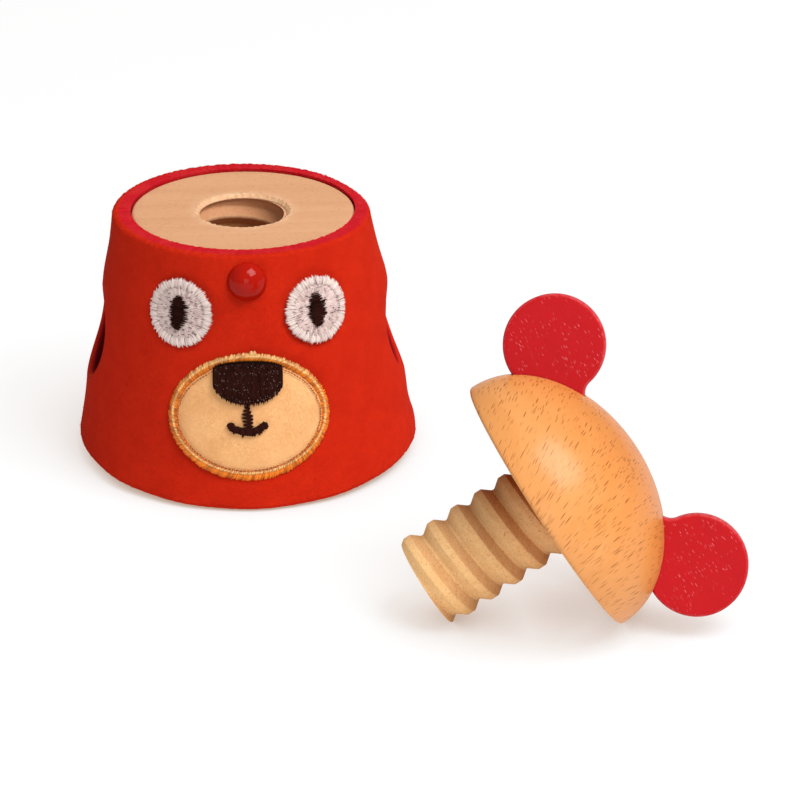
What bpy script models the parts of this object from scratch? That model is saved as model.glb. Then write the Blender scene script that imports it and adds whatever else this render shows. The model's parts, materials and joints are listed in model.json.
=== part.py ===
"""A wooden nut and bolt toy, dressed as a bear.

The nut is a turned beech cone in a felt sleeve, with a stitched face. The bolt is a turned dome with two
round ears and a threaded shank, which fits the thread in the nut's top. It lies on its side before the nut.

Metres, +Z up. The origin is the centre of the nut's base, and the face looks along -Y.
"""

import math

import bmesh
import bpy
import numpy as np
from mathutils import Matrix

# Gaps and allowances
GAP = 0.0003  # between two pieces that touch
OVERRUN = 0.002  # how far a cutter passes the face that it cuts
WELD = 0.00001

# Nut: the outside of the felt, which sets the cone
BASE_RADIUS = 0.0400
TOP_RADIUS = 0.0295
NUT_HEIGHT = 0.0580
FELT_THICKNESS = 0.0038
FELT_EDGE_ROUND = 0.0010
HEM_ROUND = 0.0026

# Nut core and its holes
CORE_RECESS = 0.0005
CORE_EDGE_ROUND = 0.0008
BORE_FLOOR_HEIGHT = 0.0160
MOUTH_ROUND = 0.0005
MOUTH_PLAIN_DEPTH = 0.0006
MOUTH_INSET = 0.0006  # the plain mouth is this much narrower than the thread's grooves
SIDE_HOLE_RADIUS = 0.0102
SIDE_HOLE_HEIGHT = 0.0288

# Thread, right-handed, shared by shank and nut
THREAD_PITCH = 0.0060
THREAD_CREST_RADIUS = 0.0105
THREAD_DEPTH = 0.0015
THREAD_CLEARANCE = 0.0003
THREAD_START_SHARE = -0.235  # where a crest's middle lies above +X, in pitches from the seat
NUT_TURN_SHARE = 0.5  # the nut's thread starts half a turn on, where the bolt's like ears have changed places
# Along one pitch from a crest's middle: place in pitches, height in thread depths
THREAD_PROFILE_SHARES = ((-0.18, 0.88), (-0.11, 1.0), (0.11, 1.0), (0.18, 0.88), (0.45, 0.0), (0.55, 0.0))

# Forehead knob
KNOB_RADIUS = 0.0044
KNOB_RISE = 0.0030
KNOB_BELOW_TOP = 0.0055
PEG_RADIUS = 0.0020
PEG_LENGTH = 0.0085

# Muzzle: its middle, measured up the slope of the cone, and its outline
MUZZLE_SLANT_HEIGHT = 0.0221
MUZZLE_HALF_WIDTH = 0.0180
MUZZLE_HALF_HEIGHT = 0.0147
BORDER_WIDTH = 0.0023
BORDER_RISE = 0.0012
PATCH_THICKNESS = 0.0010
NOSE_THICKNESS = 0.0007
NOSE_HALF_WIDTH = 0.0077
NOSE_OVER_MUZZLE = 0.0133  # the nose's top over the muzzle's middle
NOSE_CROWN = 0.0009
NOSE_SIDE = 0.0044
NOSE_CHIN = 0.0048
STEM_LENGTH = 0.0065
MOUTH_STROKE = 0.0017
MOUTH_HALF_WIDTH = 0.0039
MOUTH_SAG = 0.0015

# Eyes
EYE_AZIMUTH = math.radians(28.9)
EYE_BELOW_TOP = 0.0141
EYE_HALF_WIDTH = 0.0077
EYE_HALF_HEIGHT = 0.0080
EYE_THICKNESS = 0.0008
PUPIL_HALF_WIDTH = 0.0024
PUPIL_HALF_HEIGHT = 0.0039
PUPIL_THICKNESS = 0.0011

# Dome
DOME_RADIUS = 0.0297
DOME_HEIGHT = 0.0231
DOME_RIM_ROUND = 0.0008

# Shank and the dowel that joins it to the dome
SHANK_LENGTH = 0.0302
TIP_CHAMFER = 0.0006
DOWEL_RADIUS = 0.0040
DOWEL_IN_DOME = 0.0120
DOWEL_IN_SHANK = 0.0140

# Ears: a disc with a tongue that points at the middle of the dome's flat face
EAR_RADIUS = 0.0109
EAR_THICKNESS = 0.0050
EAR_OUT = 0.0277
EAR_UP = 0.0203
EAR_EDGE_ROUND = 0.0006
TONGUE_HALF_WIDTH = 0.0070
TONGUE_LENGTH = 0.0060
TONGUE_FILLET = 0.0030

# How the bolt lies: the middle of its seat, its heading from +X and its roll about its own axis
LIE_X = 0.0613
LIE_Y = -0.0932
LIE_HEADING = math.radians(5.0)
LIE_ROLL = math.radians(-25.0)

# Facets. The thread's rows stand half a step off the other turned pieces' edges, so that no two coincide
CONE_STEPS = 90
DOME_STEPS = 64
THREAD_STEPS = 36
SMALL_STEPS = 20
ARC_STEPS = 3

# Worked out from the sizes above
TAPER = (BASE_RADIUS - TOP_RADIUS) / NUT_HEIGHT
CONE_ANGLE = math.atan(TAPER)
SLANT_LENGTH = NUT_HEIGHT / math.cos(CONE_ANGLE)
KNOB_SLANT_HEIGHT = SLANT_LENGTH - KNOB_BELOW_TOP
EYE_SLANT_HEIGHT = SLANT_LENGTH - EYE_BELOW_TOP
NOSE_TOP_SLANT_HEIGHT = MUZZLE_SLANT_HEIGHT + NOSE_OVER_MUZZLE
MOUTH_SLANT_HEIGHT = NOSE_TOP_SLANT_HEIGHT - NOSE_CROWN - NOSE_SIDE - NOSE_CHIN - STEM_LENGTH
CORE_TOP = NUT_HEIGHT - CORE_RECESS
CORE_INSET = FELT_THICKNESS + GAP
GROOVE_RADIUS = THREAD_CREST_RADIUS + THREAD_CLEARANCE
MOUTH_RADIUS = GROOVE_RADIUS - MOUTH_INSET
SHANK_RUN = SHANK_LENGTH - TIP_CHAMFER + DOME_RIM_ROUND
RIM_STEP = DOME_RADIUS - DOME_RIM_ROUND - THREAD_CREST_RADIUS
LIE_TILT = math.atan2(RIM_STEP, SHANK_RUN) + math.asin(DOME_RIM_ROUND / math.hypot(RIM_STEP, SHANK_RUN))
LIE_HEIGHT = (DOME_RADIUS - DOME_RIM_ROUND) * math.cos(LIE_TILT) + DOME_RIM_ROUND * (1 - math.sin(LIE_TILT))

BEECH = (0.72, 0.43, 0.20, 1.0)
LACQUERED_BEECH = (0.76, 0.38, 0.11, 1.0)
RED_FELT = (0.62, 0.022, 0.010, 1.0)
CRIMSON_PAINT = (0.56, 0.008, 0.022, 1.0)
RED_GLOSS = (0.58, 0.010, 0.008, 1.0)
PEACH_FELT = (0.93, 0.52, 0.25, 1.0)
GOLD_THREAD = (0.80, 0.30, 0.06, 1.0)
WHITE_THREAD = (0.82, 0.74, 0.74, 1.0)
DARK_THREAD = (0.035, 0.008, 0.006, 1.0)


def clear_scene():
    """Removes what the startup scene holds."""
    for obj in list(bpy.data.objects):
        bpy.data.objects.remove(obj, do_unlink=True)


def new_collection(name):
    """A collection in the scene."""
    collection = bpy.data.collections.new(name)
    bpy.context.scene.collection.children.link(collection)
    return collection


def material(name, colour, roughness):
    """A plain Principled material."""
    made = bpy.data.materials.new(name)
    made.use_nodes = True
    made.diffuse_color = colour
    shader = made.node_tree.nodes["Principled BSDF"]
    shader.inputs["Base Color"].default_value = colour
    shader.inputs["Roughness"].default_value = roughness
    shader.inputs["Metallic"].default_value = 0.0
    return made


def place(obj, collection, frame=None, matrix=None):
    """Links an object, under its frame if it has one, at a local matrix."""
    collection.objects.link(obj)
    obj.parent = frame
    if matrix is not None:
        obj.matrix_local = matrix
    return obj


def as_cutter(obj):
    """Marks an object that only shapes others."""
    obj.hide_render = True
    obj.display_type = "WIRE"
    return obj


def boolean(obj, other, operation):
    """Adds a Boolean of one object with another."""
    modifier = obj.modifiers.new(f"{operation.lower()} {other.name}", "BOOLEAN")
    modifier.operation = operation
    modifier.solver = "EXACT"
    modifier.object = other


def finish(obj, look):
    """Gives an object its material, and welds the points that its cuts leave together."""
    obj.data.materials.append(look)
    weld = obj.modifiers.new("weld", "WELD")
    weld.merge_threshold = WELD
    return obj


def arc(centre, radius, start, end, steps=ARC_STEPS):
    """Points of an arc, with both ends. Angles are in radians."""
    angles = np.linspace(start, end, steps + 1)
    return [(centre[0] + radius * math.cos(a), centre[1] + radius * math.sin(a)) for a in angles]


def turned(name, profile, steps, closed=False):
    """A profile of (radius, height) points, spun about Z. It runs down its outer side."""
    count = len(profile)
    edges = [(i, i + 1) for i in range(count - 1)]
    if closed:
        edges.append((count - 1, 0))
    mesh = bpy.data.meshes.new(name)
    mesh.from_pydata([(radius, 0, height) for radius, height in profile], edges, [])
    obj = bpy.data.objects.new(name, mesh)
    screw = obj.modifiers.new("turn", "SCREW")
    screw.axis = "Z"
    screw.angle = 2 * math.pi
    screw.steps = steps
    screw.render_steps = steps
    screw.use_merge_vertices = True
    screw.merge_threshold = WELD
    return obj


def plate(name, outlines, thickness):
    """Closed outlines in XY, filled and made a plate about Z = 0. An inner outline is a hole."""
    curve = bpy.data.curves.new(name, "CURVE")
    curve.dimensions = "2D"
    curve.fill_mode = "BOTH"
    curve.extrude = thickness / 2
    for outline in outlines:
        spline = curve.splines.new("POLY")
        spline.points.add(len(outline) - 1)
        for point, (x, y) in zip(spline.points, outline):
            point.co = (x, y, 0, 1)
        spline.use_cyclic_u = True
    drawn = bpy.data.objects.new(f"{name} outline", curve)
    bpy.context.scene.collection.objects.link(drawn)
    graph = bpy.context.evaluated_depsgraph_get()
    mesh = bpy.data.meshes.new_from_object(drawn.evaluated_get(graph))
    mesh.name = name
    bpy.data.objects.remove(drawn, do_unlink=True)
    weld = bmesh.new()
    weld.from_mesh(mesh)
    bmesh.ops.remove_doubles(weld, verts=weld.verts, dist=WELD)
    bmesh.ops.recalc_face_normals(weld, faces=weld.faces)
    weld.to_mesh(mesh)
    weld.free()
    return bpy.data.objects.new(name, mesh)


def rod(name, radius, low, high, steps):
    """A closed cylinder about Z."""
    return turned(name, [(0, high), (radius, high), (radius, low), (0, low)], steps)


def thread_body(name, grow, seat, turn_share=0.0):
    """A long one-start thread about Z, wider than the shank's by grow, which runs past it at both ends.

    It starts turn_share of a turn on from the shank's.

    Its grid has one row for each step round the axis, and its columns follow the profile along the helix, so
    the last row meets the first one pitch further on. Each end is closed by a fan to a point on the axis.
    """
    shares = np.array(THREAD_PROFILE_SHARES)
    per_pitch = len(shares)
    turns = math.ceil((SHANK_LENGTH + BORE_FLOOR_HEIGHT) / THREAD_PITCH) + 2
    columns = np.arange(turns * per_pitch + 1)
    whole, part = np.divmod(columns, per_pitch)
    along = whole + shares[part, 0] + THREAD_START_SHARE + turn_share + 1 - turns
    radius = THREAD_CREST_RADIUS + grow - THREAD_DEPTH * (1 - shares[part, 1])
    angle = 2 * math.pi * (np.arange(THREAD_STEPS) + 0.5) / THREAD_STEPS
    height = seat + THREAD_PITCH * (along[None, :] + angle[:, None] / (2 * math.pi))
    x = radius[None, :] * np.cos(angle)[:, None]
    y = radius[None, :] * np.sin(angle)[:, None]
    points = np.stack([x, y, height], axis=-1).reshape(-1, 3)

    count = len(columns)
    index = np.arange(THREAD_STEPS * count).reshape(THREAD_STEPS, count)
    here = index
    ahead = np.roll(index, -1, axis=0)
    faces = []
    for row in range(THREAD_STEPS):
        shift = per_pitch if row == THREAD_STEPS - 1 else 0
        for k in range(count - 1 - shift):
            faces.append((here[row, k], ahead[row, k + shift], ahead[row, k + 1 + shift], here[row, k + 1]))
    low_rim = [*index[:, 0], *index[0, per_pitch:0:-1]]
    high_rim = [*index[:, -1], *index[-1, count - 2 : count - 2 - per_pitch : -1]]
    centres = [(0, 0, points[low_rim, 2].mean()), (0, 0, points[high_rim, 2].mean())]
    for rim, centre in zip((low_rim, high_rim), (len(points), len(points) + 1)):
        faces += [(rim[i - 1], rim[i], centre) for i in range(len(rim))]

    mesh = bpy.data.meshes.new(name)
    mesh.from_pydata([*points.tolist(), *centres], [], [tuple(map(int, face)) for face in faces])
    tidy = bmesh.new()
    tidy.from_mesh(mesh)
    bmesh.ops.triangulate(tidy, faces=tidy.faces)
    bmesh.ops.recalc_face_normals(tidy, faces=tidy.faces)
    tidy.to_mesh(mesh)
    tidy.free()
    return bpy.data.objects.new(name, mesh)


def cone_radius(height, outward=0.0):
    """The radius of the sleeve's outside at a height, or of a cone that lies outward of it."""
    return BASE_RADIUS - TAPER * height + outward / math.cos(CONE_ANGLE)


def rounded_cone(low, high, outward, low_round, high_round):
    """The outer side of a cone parallel to the sleeve's, from the top down, with both edges rounded."""
    top = (cone_radius(high - high_round, outward - high_round), high - high_round)
    base = (cone_radius(low + low_round, outward - low_round), low + low_round)
    quarter = math.pi / 2
    return arc(top, high_round, quarter, CONE_ANGLE) + arc(base, low_round, CONE_ANGLE, -quarter)


def on_sleeve(azimuth, slant, outward=0.0):
    """The frame of a place on the sleeve: X across, Y up the slope, Z outward."""
    height = slant * math.cos(CONE_ANGLE)
    across = np.array((math.cos(azimuth), math.sin(azimuth), 0))
    radial = np.array((math.sin(azimuth), -math.cos(azimuth), 0))
    up = np.array((0, 0, 1))
    slope = up * math.cos(CONE_ANGLE) - radial * math.sin(CONE_ANGLE)
    normal = radial * math.cos(CONE_ANGLE) + up * math.sin(CONE_ANGLE)
    origin = radial * cone_radius(height) + up * height + normal * outward
    matrix = np.eye(4)
    matrix[:3, :] = np.stack([across, slope, normal, origin], axis=1)
    return Matrix(matrix.tolist())


def side_hole(name, radius, cutters):
    """A rod across the nut, through both side holes."""
    reach = BASE_RADIUS + OVERRUN
    cutter = rod(name, radius, -reach, reach, 2 * SMALL_STEPS)
    sideways = Matrix.Translation((0, 0, SIDE_HOLE_HEIGHT)) @ Matrix.Rotation(math.pi / 2, 4, "Y")
    return as_cutter(place(cutter, cutters, matrix=sideways))


def peg_hole(name, cutters):
    """The hole for the forehead knob's peg."""
    low = -(PEG_LENGTH + GAP)
    cutter = rod(name, PEG_RADIUS + GAP, low, OVERRUN, SMALL_STEPS)
    return as_cutter(place(cutter, cutters, matrix=on_sleeve(0, KNOB_SLANT_HEIGHT)))


def make_nut_core(parts, cutters, look):
    """The wooden cone, with its threaded hole, the plain hole across it and the knob's peg hole."""
    side = rounded_cone(0, CORE_TOP, -CORE_INSET, CORE_EDGE_ROUND, CORE_EDGE_ROUND)
    core = place(turned("nut_core", [(0, CORE_TOP), *side, (0, 0)], CONE_STEPS), parts)

    seat = CORE_TOP + GAP
    bore = rod("bore", GROOVE_RADIUS + OVERRUN, BORE_FLOOR_HEIGHT, CORE_TOP + OVERRUN, THREAD_STEPS)
    as_cutter(place(bore, cutters))
    thread = as_cutter(place(thread_body("nut_thread", THREAD_CLEARANCE, seat, NUT_TURN_SHARE), cutters))
    boolean(bore, thread, "INTERSECT")
    boolean(core, bore, "DIFFERENCE")

    edge = arc((MOUTH_RADIUS + MOUTH_ROUND, CORE_TOP - MOUTH_ROUND), MOUTH_ROUND, math.pi / 2, math.pi)
    mouth_floor = CORE_TOP - MOUTH_ROUND - MOUTH_PLAIN_DEPTH
    above = CORE_TOP + OVERRUN
    mouth_profile = [(0, above), (edge[0][0], above), *edge, (MOUTH_RADIUS, mouth_floor), (0, mouth_floor)]
    mouth = as_cutter(place(turned("mouth", mouth_profile, THREAD_STEPS), cutters))
    boolean(core, mouth, "DIFFERENCE")
    boolean(core, side_hole("core_side_hole", SIDE_HOLE_RADIUS, cutters), "DIFFERENCE")
    boolean(core, peg_hole("core_peg_hole", cutters), "DIFFERENCE")
    return finish(core, look)


def make_felt_sleeve(parts, cutters, look):
    """The felt round the cone, with a hole on each side and the knob's peg hole."""
    side = rounded_cone(0, NUT_HEIGHT, 0, HEM_ROUND, FELT_EDGE_ROUND)
    inner = [(cone_radius(0, -FELT_THICKNESS), 0), (cone_radius(NUT_HEIGHT, -FELT_THICKNESS), NUT_HEIGHT)]
    sleeve = place(turned("felt_sleeve", [*side, *inner], CONE_STEPS, closed=True), parts)
    boolean(sleeve, side_hole("sleeve_side_hole", SIDE_HOLE_RADIUS + GAP, cutters), "DIFFERENCE")
    boolean(sleeve, peg_hole("sleeve_peg_hole", cutters), "DIFFERENCE")
    return finish(sleeve, look)


def make_forehead_knob(parts, look):
    """A low half-ball on a peg, which goes through the felt into the wood."""
    ball = (KNOB_RADIUS**2 + KNOB_RISE**2) / (2 * KNOB_RISE)
    half = math.asin(KNOB_RADIUS / ball)
    cap = arc((0, GAP + KNOB_RISE - ball), ball, math.pi / 2, math.pi / 2 - half)
    profile = [(0, GAP + KNOB_RISE), *cap[1:], (PEG_RADIUS, GAP), (PEG_RADIUS, -PEG_LENGTH), (0, -PEG_LENGTH)]
    knob = turned("forehead_knob", profile, SMALL_STEPS)
    return finish(place(knob, parts, matrix=on_sleeve(0, KNOB_SLANT_HEIGHT)), look)


def ellipse(half_width, half_height, steps):
    """An ellipse about the origin."""
    angles = 2 * math.pi * np.arange(steps) / steps
    return [(half_width * math.cos(a), half_height * math.sin(a)) for a in angles]


def nose_outline():
    """The nose: a low arched top, straight sides and a round chin. Its origin is the top of its sides."""
    ball = (NOSE_HALF_WIDTH**2 + NOSE_CROWN**2) / (2 * NOSE_CROWN)
    half = math.asin(NOSE_HALF_WIDTH / ball)
    top = arc((0, NOSE_CROWN - ball), ball, math.pi / 2 - half, math.pi / 2 + half, 2 * ARC_STEPS)
    angles = np.linspace(math.pi, 2 * math.pi, 5 * ARC_STEPS)
    chin = [(NOSE_HALF_WIDTH * math.cos(a), NOSE_CHIN * math.sin(a) - NOSE_SIDE) for a in angles]
    return top + chin


def mouth_outline():
    """The mouth: a stem down from the nose on a smile of one stroke. Its origin is the smile's lowest middle."""
    ball = (MOUTH_HALF_WIDTH**2 + MOUTH_SAG**2) / (2 * MOUTH_SAG)
    half = math.asin(MOUTH_HALF_WIDTH / ball)
    stroke = MOUTH_STROKE / 2
    down = -math.pi / 2
    stem_top = STEM_LENGTH - GAP
    middle = (0, ball)
    stem_half = math.asin(stroke / (ball - stroke))
    lower = arc(middle, ball + stroke, down - half, down + half, 2 * ARC_STEPS)
    end = (ball * math.sin(half), ball - ball * math.cos(half))
    right_end = arc(end, stroke, down + half, down + half + math.pi, ARC_STEPS)[1:-1]
    right = arc(middle, ball - stroke, down + half, down + stem_half, ARC_STEPS)
    left = arc(middle, ball - stroke, down - stem_half, down - half, ARC_STEPS)
    back = down - half + math.pi
    left_end = arc((-end[0], end[1]), stroke, back, back + math.pi, ARC_STEPS)[1:-1]
    return [*lower, *right_end, *right, (stroke, stem_top), (-stroke, stem_top), *left, *left_end]


def sleeve_skin(name, inner, outer, cutters):
    """A closed shell between two cones outside the sleeve, from which the face's thin pieces are cut."""
    corners = ((NUT_HEIGHT, inner), (NUT_HEIGHT, outer), (0, outer), (0, inner))
    profile = [(cone_radius(height, outward), height) for height, outward in corners]
    return as_cutter(place(turned(name, profile, CONE_STEPS, closed=True), cutters))


def face_piece(name, outlines, azimuth, slant, skin, parts, look):
    """A thin piece on the cone: an outline, cut from a skin along the cone's normal at its middle."""
    depth = 2 * (TOP_RADIUS - GROOVE_RADIUS)
    piece = place(plate(name, outlines, depth), parts, matrix=on_sleeve(azimuth, slant))
    boolean(piece, skin, "INTERSECT")
    return finish(piece, look)


def make_face(parts, cutters, looks):
    """The muzzle, nose, mouth and eyes."""
    patch_top = GAP + PATCH_THICKNESS
    border_top = GAP + BORDER_RISE
    nose_base = border_top + GAP
    patch_skin = sleeve_skin("patch_skin", GAP, patch_top, cutters)
    border_skin = sleeve_skin("border_skin", GAP, border_top, cutters)
    nose_skin = sleeve_skin("nose_skin", nose_base, nose_base + NOSE_THICKNESS, cutters)
    eye_skin = sleeve_skin("eye_skin", GAP, GAP + EYE_THICKNESS, cutters)
    pupil_skin = sleeve_skin("pupil_skin", GAP, GAP + PUPIL_THICKNESS, cutters)

    outer = ellipse(MUZZLE_HALF_WIDTH, MUZZLE_HALF_HEIGHT, 2 * SMALL_STEPS)
    inner_width = MUZZLE_HALF_WIDTH - BORDER_WIDTH
    inner_height = MUZZLE_HALF_HEIGHT - BORDER_WIDTH
    inner = ellipse(inner_width, inner_height, 2 * SMALL_STEPS)
    patch = ellipse(inner_width - GAP, inner_height - GAP, 2 * SMALL_STEPS)
    face_piece("muzzle_border", [outer, inner], 0, MUZZLE_SLANT_HEIGHT, border_skin, parts, looks["gold"])
    face_piece("muzzle_patch", [patch], 0, MUZZLE_SLANT_HEIGHT, patch_skin, parts, looks["peach"])

    nose_height = NOSE_TOP_SLANT_HEIGHT - NOSE_CROWN
    face_piece("nose_stitching", [nose_outline()], 0, nose_height, nose_skin, parts, looks["dark"])
    face_piece("mouth_stitching", [mouth_outline()], 0, MOUTH_SLANT_HEIGHT, nose_skin, parts, looks["dark"])

    white = ellipse(EYE_HALF_WIDTH, EYE_HALF_HEIGHT, 2 * SMALL_STEPS)
    hole = ellipse(PUPIL_HALF_WIDTH + GAP, PUPIL_HALF_HEIGHT + GAP, SMALL_STEPS)
    pupil = ellipse(PUPIL_HALF_WIDTH, PUPIL_HALF_HEIGHT, SMALL_STEPS)
    for side, azimuth in (("left", -EYE_AZIMUTH), ("right", EYE_AZIMUTH)):
        face_piece(f"{side}_eye", [white, hole], azimuth, EYE_SLANT_HEIGHT, eye_skin, parts, looks["white"])
        face_piece(f"{side}_pupil", [pupil], azimuth, EYE_SLANT_HEIGHT, pupil_skin, parts, looks["dark"])


def lying_frame(parts):
    """The bolt's frame: the middle of its seat, with Z along its axis to the crown and its ears along X.

    The shank's first crest and the dome's rim both touch the ground, which sets the tilt and the height.
    """
    frame = bpy.data.objects.new("bolt_frame", None)
    parts.objects.link(frame)
    turn = Matrix.Rotation(LIE_HEADING, 4, "Z") @ Matrix.Rotation(math.pi / 2 - LIE_TILT, 4, "Y")
    frame.matrix_world = (
        Matrix.Translation((LIE_X, LIE_Y, LIE_HEIGHT)) @ turn @ Matrix.Rotation(LIE_ROLL, 4, "Z")
    )
    return frame


def ear_outline(grow):
    """An ear's disc and tongue, widened by grow. The disc's middle is the origin, and the tongue runs down."""
    disc = EAR_RADIUS + grow
    half = TONGUE_HALF_WIDTH + grow
    fillet = TONGUE_FILLET - grow
    end = -(EAR_RADIUS + TONGUE_LENGTH + grow)
    across = half + fillet
    along = math.sqrt((disc + fillet) ** 2 - across**2)
    lean = math.atan2(along, across)
    quarter = math.pi / 2
    right = arc((across, -along), fillet, math.pi, math.pi - lean)
    round_disc = arc((0, 0), disc, -lean, math.pi + lean, 10 * ARC_STEPS)[1:-1]
    left = arc((-across, -along), fillet, lean, 0)
    corner = TONGUE_FILLET / 2
    right_corner = arc((half - corner, end + corner), corner, -quarter, 0, 2)
    left_corner = arc((corner - half, end + corner), corner, -2 * quarter, -quarter, 2)
    return [*right_corner, *right, *round_disc, *left, *left_corner]


def ear_place(side):
    """The frame of an ear in the bolt's frame. Its plate lies in the plane of X and the axis."""
    lean = math.atan2(EAR_OUT, EAR_UP)
    spot = Matrix.Translation((EAR_OUT, 0, EAR_UP)) @ Matrix.Rotation(lean, 4, "Y")
    upright = Matrix.Rotation(math.pi / 2, 4, "X")
    about = Matrix.Rotation(0 if side > 0 else math.pi, 4, "Z")
    return about @ spot @ upright


def make_dome(parts, cutters, frame, look):
    """The turned dome, half an ellipsoid with its dowel hole, cut by the mortises of both ears."""
    rise = DOME_HEIGHT - DOME_RIM_ROUND
    angles = np.linspace(math.pi / 2, 0, 5 * ARC_STEPS)
    crown = [(DOME_RADIUS * math.cos(a), DOME_RIM_ROUND + rise * math.sin(a)) for a in angles[1:]]
    rim = arc((DOME_RADIUS - DOME_RIM_ROUND, DOME_RIM_ROUND), DOME_RIM_ROUND, 0, -math.pi / 2)
    hole = DOWEL_RADIUS + GAP
    hole_floor = DOWEL_IN_DOME + GAP
    profile = [(0, DOME_HEIGHT), *crown, *rim[1:], (hole, 0), (hole, hole_floor), (0, hole_floor)]
    dome = place(turned("dome_cap", profile, DOME_STEPS), parts, frame)
    for side, name in ((-1, "left_mortise"), (1, "right_mortise")):
        mortise = plate(name, [ear_outline(GAP)], EAR_THICKNESS + 2 * GAP)
        boolean(dome, as_cutter(place(mortise, cutters, frame, ear_place(side))), "DIFFERENCE")
    return finish(dome, look)


def make_ears(parts, frame, look):
    """Two flat ears with rounded edges, each with its tongue in the dome."""
    for side, name in ((-1, "left_ear"), (1, "right_ear")):
        ear = plate(name, [ear_outline(0)], EAR_THICKNESS)
        ear.data.shade_smooth()
        ear.data.set_sharp_from_angle(angle=math.radians(35))
        place(ear, parts, frame, ear_place(side))
        edge = ear.modifiers.new("edge", "BEVEL")
        edge.width = EAR_EDGE_ROUND
        edge.segments = 2
        edge.limit_method = "ANGLE"
        edge.angle_limit = math.radians(60)
        finish(ear, look)


def make_shank(parts, cutters, frame, look):
    """The threaded shank: a turned blank with its dowel hole and a chamfered tip, cut to the thread."""
    wide = THREAD_CREST_RADIUS + TIP_CHAMFER
    narrow = THREAD_CREST_RADIUS - TIP_CHAMFER
    tip = -SHANK_LENGTH
    hole = DOWEL_RADIUS + GAP
    hole_floor = -DOWEL_IN_SHANK - GAP
    inside = [(0, hole_floor), (hole, hole_floor), (hole, -GAP)]
    outside = [(wide, -GAP), (wide, tip + 2 * TIP_CHAMFER), (narrow, tip), (0, tip)]
    shank = place(turned("threaded_shank", inside + outside, THREAD_STEPS), parts, frame)
    thread = as_cutter(place(thread_body("shank_thread", 0, 0), cutters, frame))
    boolean(shank, thread, "INTERSECT")
    return finish(shank, look)


def make_dowel(parts, frame, look):
    """The hidden dowel that joins dome and shank."""
    dowel = rod("shank_dowel", DOWEL_RADIUS, -DOWEL_IN_SHANK, DOWEL_IN_DOME, SMALL_STEPS)
    return finish(place(dowel, parts, frame), look)


def main():
    clear_scene()
    parts = new_collection("nut_and_bolt_bear")
    cutters = new_collection("cutters")
    looks = {
        "beech": material("bare_beech", BEECH, 0.62),
        "lacquer": material("lacquered_beech", LACQUERED_BEECH, 0.28),
        "felt": material("red_felt", RED_FELT, 0.95),
        "crimson": material("crimson_paint", CRIMSON_PAINT, 0.35),
        "gloss": material("red_gloss", RED_GLOSS, 0.12),
        "peach": material("peach_felt", PEACH_FELT, 0.9),
        "gold": material("gold_thread", GOLD_THREAD, 0.5),
        "white": material("white_thread", WHITE_THREAD, 0.5),
        "dark": material("dark_thread", DARK_THREAD, 0.5),
    }
    make_nut_core(parts, cutters, looks["beech"])
    make_felt_sleeve(parts, cutters, looks["felt"])
    make_forehead_knob(parts, looks["gloss"])
    make_face(parts, cutters, looks)

    frame = lying_frame(parts)
    make_dome(parts, cutters, frame, looks["lacquer"])
    make_ears(parts, frame, looks["crimson"])
    make_shank(parts, cutters, frame, looks["beech"])
    make_dowel(parts, frame, looks["beech"])


main()
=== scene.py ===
"""Looks of a wooden nut and bolt toy that is dressed as a bear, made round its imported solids.

The nut is a beech cone in a sleeve of red felt, with an embroidered face. The bolt is a lacquered beech dome with
two painted ears and a bare beech shank, whose thread fits the nut's.
"""

import json
import logging
import math
from dataclasses import dataclass, field
from enum import Enum

import bmesh
import bpy
import numpy as np
from mathutils import Matrix


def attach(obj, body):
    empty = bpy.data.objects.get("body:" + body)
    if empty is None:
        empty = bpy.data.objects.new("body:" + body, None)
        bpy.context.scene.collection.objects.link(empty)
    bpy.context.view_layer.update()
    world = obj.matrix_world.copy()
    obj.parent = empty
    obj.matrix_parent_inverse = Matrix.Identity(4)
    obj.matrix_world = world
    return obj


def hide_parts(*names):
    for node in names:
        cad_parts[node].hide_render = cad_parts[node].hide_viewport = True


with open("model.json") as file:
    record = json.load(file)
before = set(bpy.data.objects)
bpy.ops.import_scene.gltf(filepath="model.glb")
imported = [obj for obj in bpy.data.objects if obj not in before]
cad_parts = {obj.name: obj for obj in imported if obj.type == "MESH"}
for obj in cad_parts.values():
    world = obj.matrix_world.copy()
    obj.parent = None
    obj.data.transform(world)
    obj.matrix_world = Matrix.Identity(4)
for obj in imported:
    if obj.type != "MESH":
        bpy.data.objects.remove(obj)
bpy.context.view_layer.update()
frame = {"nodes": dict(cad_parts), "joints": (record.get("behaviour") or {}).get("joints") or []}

log = logging.getLogger("bear_nut_and_bolt")

Array = np.ndarray
Colour = tuple[float, float, float]
TURN = 2 * math.pi


class Body(Enum):
    """The bodies that pieces ride on."""

    NUT = "nut"
    BOLT = "bolt"
    CARRIER = "bolt_carrier"


class Side(Enum):
    """Left and right as the photograph shows the face, with the sign of X."""

    LEFT = -1
    RIGHT = 1

    @property
    def word(self) -> str:
        """The side's word in a node's name."""
        return self.name.lower()


# Surfaces


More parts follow.
